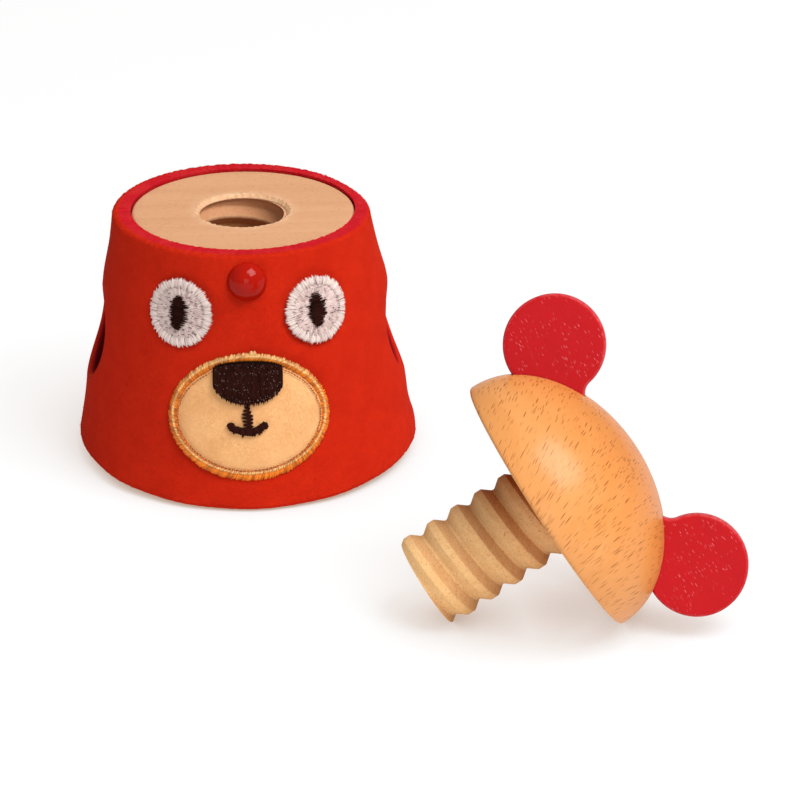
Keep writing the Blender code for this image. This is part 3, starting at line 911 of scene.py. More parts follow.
def stitches(
    spot: Spot,
    starts: Array,
    ends: Array,
    width: Array | float,
    rise: Array | float,
    rng: np.random.Generator,
    ground: float = 0.0,
    bands: tuple[Array | float, Array | float] = (0.0, 0.0),
    tints: tuple[float, float] = (0.35, 1.0),
    blunt: float = 0.35,
    power: float = 4.0,
    steps: int = 8,
    sides: int = 6,
) -> Shell:
    """Straight stitches laid side by side, each a closed flattened tube from where it leaves the cloth to where it goes
    back in.

    Along a stitch, t from 0 to 1, the middle lies at start + t (end - start) and rises as rise (1 - |2t - 1|^power).
    Round it, the section is an ellipse that narrows at both ends, from 1 to blunt.

    Args:
        spot: The place of the drawing on the cone.
        starts: Each stitch's first point in the drawing, (count, 2).
        ends: Each stitch's last point, (count, 2).
        width: Each stitch's width.
        rise: How far the middle of a stitch stands over its ends.
        rng: Random numbers for its tint.
        ground: The height of the cloth that it stands on.
        bands: The band value at the start and at the end; on the muzzle border it is a painted highlight.
        tints: The least and greatest tint.
        blunt: The share of its width that is left at its ends.
        power: How flat its arch is: 2 is round, 4 is flat with steep ends.
        steps: The number of stretches along a stitch.
        sides: The number of sides round it.

    Returns:
        The shell of them all.
    """
    count = len(starts)
    t = np.linspace(0, 1, steps + 1)[None, :, None]
    around = (TURN * np.arange(sides) / sides)[None, None, :]
    span = ends - starts
    length = np.maximum(np.linalg.norm(span, axis=1), 1e-9)
    beside = np.stack([-span[:, 1], span[:, 0]], axis=-1) / length[:, None]
    half = np.broadcast_to(width, (count,))[:, None, None] / 2
    arch = 1 - np.abs(2 * t - 1) ** power
    narrow = blunt + (1 - blunt) * np.sqrt(1 - (2 * t - 1) ** 4)
    off = half * narrow * np.cos(around)
    x = starts[:, 0, None, None] + t * span[:, 0, None, None] + off * beside[:, 0, None, None]
    y = starts[:, 1, None, None] + t * span[:, 1, None, None] + off * beside[:, 1, None, None]
    height = np.broadcast_to(rise, (count,))[:, None, None]
    lift = ground + height * arch + 0.8 * half * narrow * np.sin(around)
    points = spot.lay(x, y, lift)

    index = np.arange(points[..., 0].size).reshape(count, steps + 1, sides)
    ahead = np.roll(index, -1, axis=2)
    quads = np.stack([index[:, :-1], index[:, 1:], ahead[:, 1:], ahead[:, :-1]], axis=-1).reshape(-1, 4)
    caps = np.concatenate([index[:, 0], index[:, -1, ::-1]])
    u = np.broadcast_to((np.arange(sides + 1) / sides)[None, None, :], (count, steps + 1, sides + 1))
    along = (t[..., 0] * length[:, None] / (2.2 * half[..., 0]))[..., None]
    uv = np.stack([u, np.broadcast_to(along, u.shape)], axis=-1)
    quad_uv = np.stack([uv[:, :-1, :-1], uv[:, 1:, :-1], uv[:, 1:, 1:], uv[:, :-1, 1:]], axis=-2).reshape(-1, 4, 2)
    cap_uv = np.zeros((*caps.shape, 2))
    tint = np.broadcast_to(rng.uniform(*tints, count)[:, None, None], points.shape[:3])
    # Painted shade at both ends, where the stitch sinks into the cloth.
    dip = np.broadcast_to(1 - np.sqrt(1 - (2 * t - 1) ** 4), points.shape[:3])
    first, last = (np.reshape(value, (-1, 1, 1)) for value in bands)
    band = np.broadcast_to(first + (last - first) * t, points.shape[:3])
    values = {"tint": tint.ravel(), "dip": dip.ravel(), "band": band.ravel()}
    return Shell(points.reshape(-1, 3), [quads, caps], [quad_uv, cap_uv], values)


def pad(
    spot: Spot,
    outline: Array,
    top: float,
    bottom: float,
    middle: tuple[float, float] = (0.0, 0.0),
    tone: tuple[float, float] = (0.2, 0.75),
) -> Shell:
    """The ground under stitches: a low cushion over an outline, which shrinks to a pole above and below.

    Its rows are the outline scaled about the middle. The top rises as top (1 - s^6) over the bottom.

    Args:
        spot: The place of the drawing on the cone.
        outline: The outline in the drawing, (n, 2), anticlockwise.
        top: The lift of its middle.
        bottom: The lift of its underside.
        middle: The point that it shrinks to.
        tone: Its tint and its painted shade.

    Returns:
        The shell, darkened like the gaps between stitches, a painted shade.
    """
    shares = np.concatenate([np.linspace(0, 1, 9), np.linspace(1, 0, 5)[1:]])
    above = np.arange(len(shares)) < 9
    lift = np.where(above, bottom + (top - bottom) * (1 - shares**6), bottom)
    centre = np.array(middle)
    plan = centre + (outline[None, :, :] - centre) * shares[:, None, None]
    points = spot.lay(plan[..., 0], plan[..., 1], lift[:, None])
    return skin(points, tint=tone[0], dip=tone[1], band=0.0)


@dataclass
class FeltSleeve:
    """The thick felt round the cone, wrapped from a flat sheet and butted at the back, with a hole on each side."""

    thickness: float = 0.0038
    top_round: float = 0.0010
    hem_out: float = 0.0005
    hem_up: float = 0.0008
    hem_rise: float = 0.0006
    hem_spread: float = 0.0080
    hole_radius: float = 0.0101
    hole_height: float = 0.0290
    hole_forward: float = 0.0005
    hole_lip: float = 0.0010
    hole_sink: float = 0.00020
    columns: int = 500
    side_rows: int = 76
    seam_width: float = 0.00035
    seam_depth: float = 0.00035
    bulges: tuple[tuple[float, ...], ...] = (
        (-90.0, 21.5, 16.0, 5.0, 0.75),
        (87.0, 40.0, 16.0, 5.5, 0.85),
        (87.0, 19.0, 16.0, 5.0, 0.6),
        (87.0, 5.0, 20.0, 4.0, 0.45),
        (118.0, 57.0, 22.0, 9.0, -0.9),
        (-90.0, 51.0, 16.0, 6.0, -0.4),
    )

    def section(self) -> Array:
        """The closed outline of the felt's section, from the top edge down the outside and up the inside.

        Returns:
            Points of (radius, height).
        """
        lean = math.degrees(CONE.angle)
        top = (CONE.radius(CONE.height - self.top_round, -self.top_round), CONE.height - self.top_round)
        shoulder = arc(top, self.top_round, 90, lean, 8)
        foot = run((CONE.radius(self.hem_up), self.hem_up), (CONE.radius(0, -self.hem_out), 0.0), 4)
        inner_low = (CONE.radius(0, -self.thickness), 0.0)
        inner_high = (CONE.radius(CONE.height, -self.thickness), CONE.height)
        side = run(tuple(shoulder[-1]), tuple(foot[0]), self.side_rows)
        under = run(tuple(foot[-1]), inner_low, 3)
        inside = run(inner_low, inner_high, 40)
        return path(shoulder, side, foot, under, inside, run(inner_high, tuple(shoulder[0]), 5))[:-1]

    def swell(self, angle: Array, height: Array, drawn_in: list[tuple[Spot, float, float]]) -> Array:
        """How far the outside stands out or sinks in, from its even cone.

        It leans a little to one side, as (0.25 - 0.65 t) sin a + 0.37 (1 - t) cos 2a in mm, with t the share of the
        height and a the angle. Waves of random turns and phase make it uneven. The bulges (angle in degrees, height,
        half width in degrees, half height and size, in mm) are bell curves. It sinks round the side holes and beside
        the stitching, each by a bell curve of the distance, and in a narrow groove along the seam.

        Args:
            angle: Angles from the front, to the right.
            height: Heights.
            drawn_in: The spot and the half width and height of each embroidered ellipse.

        Returns:
            Distances outward.
        """
        rng = np.random.default_rng(11)
        share = height / CONE.height
        total = 0.001 * ((0.25 - 0.65 * share) * np.sin(angle) + 0.37 * (1 - share) * np.cos(2 * angle))
        for turns, tall, size in zip(rng.integers(1, 9, 14), rng.uniform(20, 260, 14), rng.uniform(0.4, 1.0, 14)):
            phases = rng.uniform(0, TURN, 2)
            wave = np.sin(turns * angle + phases[0]) * np.sin(tall * height + phases[1])
            total = total + 0.00007 * size * wave
        radius = CONE.radius(height)
        for azimuth, level, wide, tall, size in self.bulges:
            offset = angle - math.radians(azimuth)
            wrapped = np.degrees(np.arctan2(np.sin(offset), np.cos(offset)))
            total = total + 0.001 * size * np.exp(-((wrapped / wide) ** 2) - ((height - 0.001 * level) / (0.001 * tall)) ** 2)
        for side in Side:
            offset = angle - side.value * TURN / 4
            wrapped = np.arctan2(np.sin(offset), np.cos(offset))
            beyond = np.hypot(wrapped * radius, height - self.hole_height) - self.hole_radius
            total = total - self.hole_sink * np.exp(-((np.maximum(beyond, 0) / 0.0030) ** 2))
        for spot, half_width, half_height in drawn_in:
            x, y = CONE.flat(spot.azimuth, spot.slant, angle, height)
            beyond = (np.hypot(x / half_width, y / half_height) - 1) * min(half_width, half_height)
            total = total - 0.00028 * np.exp(-((beyond / 0.0011) ** 2))
        behind = np.abs(np.arctan2(np.sin(angle - TURN / 2), np.cos(angle - TURN / 2))) * radius
        fade = np.clip((CONE.height - height) / 0.0015, 0, 1)
        return total - self.seam_depth * fade * np.exp(-((behind / self.seam_width) ** 2))

    def hem_lift(self, angle: Array) -> Array:
        """How far the hem's outer edge stands off the floor, because the felt was cut straight and wrapped round a cone.

        It is rise + (2.6 - 0.4 sin a) sin^2 a in mm.
        """
        return self.hem_rise + 0.001 * (2.6 - 0.4 * np.sin(angle)) * np.sin(angle) ** 2

    def hole_cutter(self, side: Side) -> bpy.types.Object:
        """A rod across one wall, which flares where it comes out, so that the hole has a soft rounded lip.

        At depth d under the outside the flare is lip (1 - sqrt(1 - (1 - d / lip)^2)), and outside it widens at 45
        degrees.

        Args:
            side: The wall that it cuts.

        Returns:
            The cutter.
        """
        columns = 96
        around = TURN * np.arange(columns) / columns
        depths = np.concatenate([[-0.004], self.hole_lip * (1 - np.cos(np.linspace(0, TURN / 4, 9))), [0.012]])
        inner = np.clip(1 - depths / self.hole_lip, 0, 1)
        flare = np.where(depths < 0, self.hole_lip - depths, self.hole_lip * (1 - np.sqrt(1 - inner**2)))
        radius = self.hole_radius + flare[:, None]
        y = radius * np.cos(around)
        z = self.hole_height + radius * np.sin(around)
        y = y + side.value * self.hole_forward
        surface = np.sqrt(CONE.radius(z) ** 2 - y**2) - self.hole_sink
        x = surface - depths[:, None]
        middle = [y[0].mean() + 0 * y[0], self.hole_height + 0 * y[0]]
        ends = [np.stack([row.mean() + 0 * y[0], *middle], axis=-1) for row in (x[0], x[-1])]
        grid = np.concatenate([ends[0][None], np.stack([x, y, z], axis=-1), ends[1][None]])
        grid[..., 0] *= side.value
        return skin(grid).piece(f"{side.word} felt hole")

    def fuzz(self, points: Array, angle: Array) -> Shell:
        """Loose wool fibres that stand off the top edge, the side and the hem: thin closed spikes.

        A spike's tip lies at root + length times a unit vector, which is the felt's own outward direction with a random
        part, and its foot is a small triangle under the surface. None stands where a side hole is cut.

        Args:
            points: The sleeve's grid, whose rows start at the top edge.
            angle: The angle of each column.

        Returns:
            The spikes.
        """
        rng = np.random.default_rng(77)
        hem_row = 8 + self.side_rows
        rim_rows = np.concatenate([np.arange(8), np.arange(-5, 0)])
        kinds = ((rim_rows, 1500, 0.3, 1.5), (np.arange(8, hem_row), 1500, 0.0, 0.3), (hem_row + np.arange(-3, 4), 600, -0.2, 0.2))
        row = np.concatenate([rng.choice(rows, count) for rows, count, _, _ in kinds])
        rise = np.concatenate([rng.uniform(low, high, count) for _, count, low, high in kinds])
        column = rng.integers(0, self.columns, len(row))
        root = points[row, column]
        turn = angle[column]
        out = np.stack([np.sin(turn) * np.cos(rise), -np.cos(turn) * np.cos(rise), np.sin(rise)], axis=-1)
        out = out + rng.normal(0, 0.6, out.shape)
        out /= np.linalg.norm(out, axis=1)[:, None]
        across = np.cross(out, rng.normal(0, 1, out.shape))
        across /= np.linalg.norm(across, axis=1)[:, None]
        beside = np.cross(out, across)
        length = rng.uniform(0.00015, 0.00050, (len(row), 1))
        third = TURN * np.arange(3) / 3
        ring = across[:, None] * np.cos(third)[:, None] + beside[:, None] * np.sin(third)[:, None]
        foot = (root - 0.00012 * out)[:, None] + 0.000035 * ring
        spikes = np.concatenate([foot, (root + length * out)[:, None]], axis=1)
        from_hole = np.hypot(root[:, 1] - np.sign(root[:, 0]) * self.hole_forward, root[:, 2] - self.hole_height)
        spikes = spikes[from_hole > self.hole_radius + self.hole_lip + 0.0003]
        corner = np.array([[0, 1, 3], [1, 2, 3], [2, 0, 3], [0, 2, 1]])
        faces = (4 * np.arange(len(spikes))[:, None, None] + corner).reshape(-1, 3)
        return Shell(spikes.reshape(-1, 3), [faces], [np.zeros((*faces.shape, 2))])

    def build(self, material: bpy.types.Material, drawn_in: list[tuple[Spot, float, float]]) -> None:
        """Makes the sleeve.

        Args:
            material: The felt.
            drawn_in: What swell needs to know of the embroidery.
        """
        section = self.section()
        angle = TURN * np.arange(self.columns) / self.columns
        radius, height = section[:, :1], section[:, 1:]
        depth = CONE.radius(height) - radius
        outer = np.clip(1 - depth / 0.0022, 0, 1)
        out = outer * self.swell(angle[None, :], height, drawn_in)
        rng = np.random.default_rng(5)

        def waves(low: int, high: int, count: int) -> Array:
            turns, sizes = rng.integers(low, high, count), rng.uniform(0.4, 1.0, count)
            phases = rng.uniform(0, TURN, count)
            return sum(size * np.sin(turn * angle + phase) for turn, size, phase in zip(turns, sizes, phases))

        hem_share = np.clip(1 - height / 0.012, 0, 1) ** 2
        rim_share = np.clip((height - CONE.height + 0.0016) / 0.0016, 0, 1)
        ragged = 0.00012 * waves(2, 18, 5) * hem_share + 0.00003 * waves(40, 140, 10) * (rim_share + hem_share**4)
        lift = self.hem_lift(angle) * np.clip(1 - height / self.hem_spread, 0, 1) * np.clip(1 - depth / self.thickness, 0, 1)
        swept = radius + out * math.cos(CONE.angle) + ragged * outer - CONE.taper * lift
        lifted = height + out * math.sin(CONE.angle) + lift + 0.00003 * waves(40, 140, 10) * rim_share
        points = np.stack([swept * np.sin(angle), -swept * np.cos(angle), lifted], axis=-1)
        sleeve = skin(points, round_rows=True).piece("felt_sleeve_wrap")
        carve(sleeve, *[self.hole_cutter(side) for side in Side])
        fuzz = self.fuzz(points, angle).piece("loose fibres")
        both = bmesh.new()
        both.from_mesh(sleeve.data)
        both.from_mesh(fuzz.data)
        both.to_mesh(sleeve.data)
        both.free()
        bpy.data.objects.remove(fuzz, do_unlink=True)
        settle(sleeve, Body.NUT, "red_felt", material, "felt_sleeve")


@dataclass(frozen=True)
class Thread:
    """The wooden screw thread: one right-handed start, with flat crests and narrow roots."""

    pitch: float = 0.0060
    crest_radius: float = 0.0105
    depth: float = 0.0015
    clearance: float = 0.0003
    start_share: float = -0.235
    corner_share: float = 0.014
    places: tuple[float, ...] = (-0.5, -0.455, -0.135, 0.135, 0.455, 0.5)
    heights: tuple[float, ...] = (0.0, 0.0, 1.0, 1.0, 0.0, 0.0)

    def radius(self, angle: Array, height: Array, grow: float = 0.0, turn_share: float = 0.0) -> Array:
        """The thread's radius at an angle and a height over the seat.

        The phase is height / pitch - angle / turn, and its share past the nearest crest gives the height between root
        and crest. Averaging it over a short stretch rounds the corners.

        Args:
            angle: Angles about the axis.
            height: Heights over the seat.
            grow: How much wider it is than the shank's.
            turn_share: How much of a turn it starts after the shank's.

        Returns:
            The radius.
        """
        phase = height / self.pitch - angle / TURN - self.start_share - turn_share
        shifts = np.linspace(-self.corner_share, self.corner_share, 7)
        share = sum(
            np.interp((phase + shift + 0.5) % 1 - 0.5, self.places, self.heights) for shift in shifts
        ) / len(shifts)
        return self.crest_radius + grow - self.depth * (1 - share)


    def painted_facet_shade(self, angle: Array, height: Array) -> Array:
        """Painted shade on each face of the thread: crests least, roots more, and the flanks that face the seat most.
        """
        phase = (height / self.pitch - angle / TURN - self.start_share + 0.5) % 1 - 0.5
        ends = (-0.5, -0.455, -0.445, -0.145, -0.125, 0.125, 0.145, 0.445, 0.455, 0.5)
        return np.interp(phase, ends, (0.22, 0.22, 0.12, 0.10, 0.0, 0.0, 0.50, 0.62, 0.22, 0.22))


THREAD = Thread()


@dataclass
class NutCore:
    """The beech cone inside the felt, with a threaded hole from the top and a plain hole from side to side."""

    gap: float = 0.0003
    felt_thickness: float = 0.0038
    recess: float = 0.0005
    edge_round: float = 0.0008
    mouth_radius: float = 0.0100
    mouth_bevel: float = 0.0008
    mouth_plain: float = 0.0003
    thread_turn: float = 0.55
    floor_height: float = 0.0160
    side_hole_radius: float = 0.0102
    side_hole_height: float = 0.0288
    columns: int = 240

    def build(self, material: bpy.types.Material) -> None:
        """Makes the core.

        The bore's rows are close, and each takes the thread's radius, or near the top the plain mouth's, which is
        narrower than the grooves and flares at 45 degrees in a rough bevel.

        Args:
            material: Bare beech.
        """
        inset = self.felt_thickness + self.gap
        top = CONE.height - self.recess
        lean = math.degrees(CONE.angle)
        groove = THREAD.crest_radius + THREAD.clearance
        throat = top - self.mouth_bevel - self.mouth_plain
        bore = path(
            run((groove, self.floor_height), (groove, throat), 260), run((groove, throat), (groove, top), 12)
        )
        shoulder_centre = (CONE.radius(top - self.edge_round, -inset - self.edge_round), top - self.edge_round)
        foot_centre = (CONE.radius(self.edge_round, -inset - self.edge_round), self.edge_round)
        shoulder = arc(shoulder_centre, self.edge_round, 90, lean, 5)
        foot = arc(foot_centre, self.edge_round, lean, -90, 5)
        disc = run((groove + 0.0001, top), tuple(shoulder[0]), 10)
        side = run(tuple(shoulder[-1]), tuple(foot[0]), 24)
        base = run(tuple(foot[-1]), (0.0, 0.0), 5)
        floor = run((0.0, self.floor_height), (groove, self.floor_height), 3)
        profile = path(floor, bore, disc, shoulder, side, foot, base)
        points = turned(profile, self.columns)
        angle = TURN * np.arange(self.columns) / self.columns
        seat = top + self.gap
        height = profile[:, 1:]
        in_bore = np.abs(profile[:, :1] - groove) < 1e-7
        threaded = THREAD.radius(angle, height - seat, THREAD.clearance, self.thread_turn)
        flare = np.clip(height - (top - self.mouth_bevel), 0, self.mouth_bevel)
        rng = np.random.default_rng(31)
        rough = sum(
            np.sin(turn * angle + phase) for turn, phase in zip(rng.integers(5, 70, 12), rng.uniform(0, TURN, 12))
        )
        mouth = self.mouth_radius + flare + 0.00004 * rough * np.clip(flare / 0.0003, 0, 1)
        in_mouth = in_bore & (height > throat + 1e-7)
        radius = np.where(in_bore, np.where(in_mouth, mouth, threaded), profile[:, :1])
        points[..., 0] = radius * np.cos(angle)
        points[..., 1] = radius * np.sin(angle)
        # Painted shade in the bore: darker in the grooves and further down. The speckle is the wood's own tone.
        deep = np.clip((radius - groove) / THREAD.depth + 1, 0, 1)
        down = np.clip((throat - height) / 0.0002, 0, 1)
        deeper = np.clip((throat - height) / 0.009, 0, 1)
        speckle = rng.uniform(-0.16, 0.16, radius.shape)
        shade = np.where(in_bore, (0.10 + 0.30 * deep + 0.85 * deeper + speckle) * down, 0.0)
        # Painted highlight: a pale line along each thread ridge in the bore, carried by the edge attribute with the
        # mouth's real pale wear.
        ridge_highlight = np.clip(1 - deep / 0.12, 0, 1) * np.clip(1 - deeper, 0, 1)
        edge = np.where(in_bore, np.clip((height - top + 0.0012) / 0.0004, 0, 1) + 0.8 * ridge_highlight * down, 0.0)
        on_top = np.abs(height - top) < 1e-7
        edge = np.where(on_top & ~in_bore, 0.8 * np.exp(-(((radius - groove) / 0.0012) ** 2)), edge)
        core = skin(points, shade=shade, edge=edge).piece("turned_nut_core")
        half_length = 0.045
        corners = [(0, half_length), (self.side_hole_radius, half_length), (self.side_hole_radius, -half_length), (0, -half_length)]
        across = turned(np.array(corners), 96)
        rod = np.stack([across[..., 2], across[..., 1], self.side_hole_height - across[..., 0]], axis=-1)
        carve(core, skin(rod, shade=0.0, edge=0.0).piece("cross hole"))
        settle(core, Body.NUT, "bare_beech", material, "nut_core")


@dataclass
class ForeheadKnob:
    """A low glossy half-ball with a peg."""

    spot: Spot = Spot(0.0, 0.0531)
    radius: float = 0.0044
    rise: float = 0.0030
    gap: float = 0.0003
    peg_radius: float = 0.0020
    peg_length: float = 0.0085

    def build(self, material: bpy.types.Material) -> None:
        """Makes the knob: a cap of a ball on its peg, turned about the cone's normal.

        Args:
            material: Red gloss.
        """
        ball = (self.radius**2 + self.rise**2) / (2 * self.rise)
        half = math.degrees(math.asin(self.radius / ball))
        cap = arc((0, self.gap + self.rise - ball), ball, 90, 90 - half, 20)
        neck = run((self.peg_radius, self.gap), (self.peg_radius, -self.peg_length), 3)
        end = run((self.peg_radius, -self.peg_length), (0.0, -self.peg_length), 1)
        profile = path(cap, run(tuple(cap[-1]), (self.peg_radius, self.gap), 2), neck, end)
        local = turned(profile, 72)
        points = self.spot.lay(np.zeros(local.shape[:2]), np.zeros(local.shape[:2]), 0.0)
        origin = points[0, 0]
        cos, sin = math.cos(CONE.angle), math.sin(CONE.angle)
        across, slope, normal = np.array((1, 0, 0)), np.array((0, sin, cos)), np.array((0, -cos, sin))
        points = origin + local[..., :1] * across + local[..., 1:2] * slope + local[..., 2:] * normal
        knob = skin(points).piece("turned_forehead_knob")
        settle(knob, Body.NUT, "red_gloss", material, "forehead_knob")


@dataclass
class Eye:
    """An embroidered eye: rings of pale radial stitches, dark flecks of thread, and a pupil laid across it."""

    side: Side
    azimuths: tuple[float, float] = (math.radians(27.9), math.radians(28.9))
    slant: float = 0.04494
    half_width: float = 0.0077
    half_height: float = 0.00782
    pupil_half_width: float = 0.00175
    pupil_half_height: float = 0.0037
    pupil_shift: float = 0.00025
    pupil_rows: int = 38
    needle_count: int = 70

    @property
    def spot(self) -> Spot:
        """The eye's middle on the cone."""
        return Spot(self.side.value * self.azimuths[self.side is Side.RIGHT], self.slant)

    def ellipse(self, angle: Array, share: Array | float = 1.0) -> Array:
        """Points of the eye's ellipse times a share of its size, (n, 2)."""
        plan = np.stack([self.half_width * np.cos(angle), self.half_height * np.sin(angle)], axis=-1)
        return plan * np.reshape(share, (-1, 1))

    def build_white(self, material: bpy.types.Material, rng: np.random.Generator) -> None:
        """Makes the white: three rings of radial stitches, each over the ends of the one inside it.

        Args:
            material: White thread.
            rng: Random numbers.
        """
        around = TURN * np.arange(96) / 96
        parts = [pad(self.spot, self.ellipse(around, 0.94), 0.00062, 0.00005, tone=(0.45, 0.20))]
        for count, out_share, in_share, rise, tints, bands, blunt in (
            (120, (0.50, 0.66), (0.14, 0.30), 0.00026, (0.35, 1.25), (0.0, 0.3), 0.3),
            (160, (0.70, 0.82), (0.38, 0.60), 0.00032, (0.40, 1.20), (0.5, 0.2), 0.3),
            (200, (0.965, 1.045), (0.66, 0.76), 0.00046, (0.35, 1.10), (1.0, 0.7), 0.10),
        ):
            angle = TURN * (np.arange(count) + rng.uniform(-0.3, 0.3, count)) / count
            outer = self.ellipse(angle, rng.uniform(*out_share, count))
            inner = self.ellipse(angle + rng.normal(0, 0.02, count), rng.uniform(*in_share, count))
            width = 1.35 * TURN * 0.80 * max(out_share) * self.half_width / count
            parts.append(
                stitches(self.spot, outer, inner, width, rise, rng, 0.00034, bands=bands, tints=tints, blunt=blunt)
            )
        eye = Shell.joined(parts).piece(f"{self.side.word}_eye_stitching")
        settle(eye, Body.NUT, "white_thread", material, f"{self.side.word}_eye")

    def build_pupil(self, material: bpy.types.Material, rng: np.random.Generator) -> None:
        """Makes the pupil of level stitches, some of them long, and short loose dark stitches about it.

        Args:
            material: Dark thread.
            rng: Random numbers.
        """
        rows = self.pupil_rows
        y = np.linspace(-1, 1, rows) * self.pupil_half_height
        reach = self.pupil_half_width * (1 - np.abs(y / (self.pupil_half_height * 1.06)) ** 2.2) ** 0.5
        spike = rng.uniform(-0.0001, 0.0005, (2, rows))
        long_ones = rng.uniform(0, 1, (2, rows)) > np.array([[0.72], [0.55]])
        spike = spike + long_ones * rng.uniform(0.0002, 0.0010, (2, rows)) * (reach / reach.max()) ** 2
        slope = rng.normal(0, 0.00010, (2, rows))
        shift = -self.pupil_shift
        starts = np.stack([shift - reach - spike[0], y + slope[0]], axis=-1)
        ends = np.stack([shift + reach + spike[1], y + slope[1]], axis=-1)
        around = TURN * np.arange(48) / 48
        outline = np.stack([shift + reach.max() * 0.86 * np.cos(around), self.pupil_half_height * 0.94 * np.sin(around)], axis=-1)
        angle = rng.uniform(0, TURN, self.needle_count)
        share = rng.uniform(0.34, 0.70, self.needle_count)
        middles = self.ellipse(angle, share) + np.array([0.0005, -0.0003])
        half = rng.uniform(0.00012, 0.00040, self.needle_count)
        level = np.stack([half, rng.normal(0, 0.00005, self.needle_count)], axis=-1)
        parts = [
            pad(self.spot, outline, 0.00095, 0.0004, (shift, 0.0)),
            stitches(self.spot, starts, ends, 0.00028, 0.00036, rng, ground=0.00072, tints=(0.0, 0.6), blunt=0.05),
            stitches(self.spot, middles - level, middles + level, 0.00013, 0.00008, rng, ground=0.00086, tints=(0.1, 1.3)),
        ]
        pupil = Shell.joined(parts).piece(f"{self.side.word}_pupil_stitching")
        settle(pupil, Body.NUT, "dark_thread", material, f"{self.side.word}_pupil")

    def build(self, white: bpy.types.Material, dark: bpy.types.Material) -> None:
        """Makes the white and the pupil.

        Args:
            white: White thread.
            dark: Dark thread.
        """
        rng = np.random.default_rng(20 + self.side.value)
        self.build_white(white, rng)
        self.build_pupil(dark, rng)


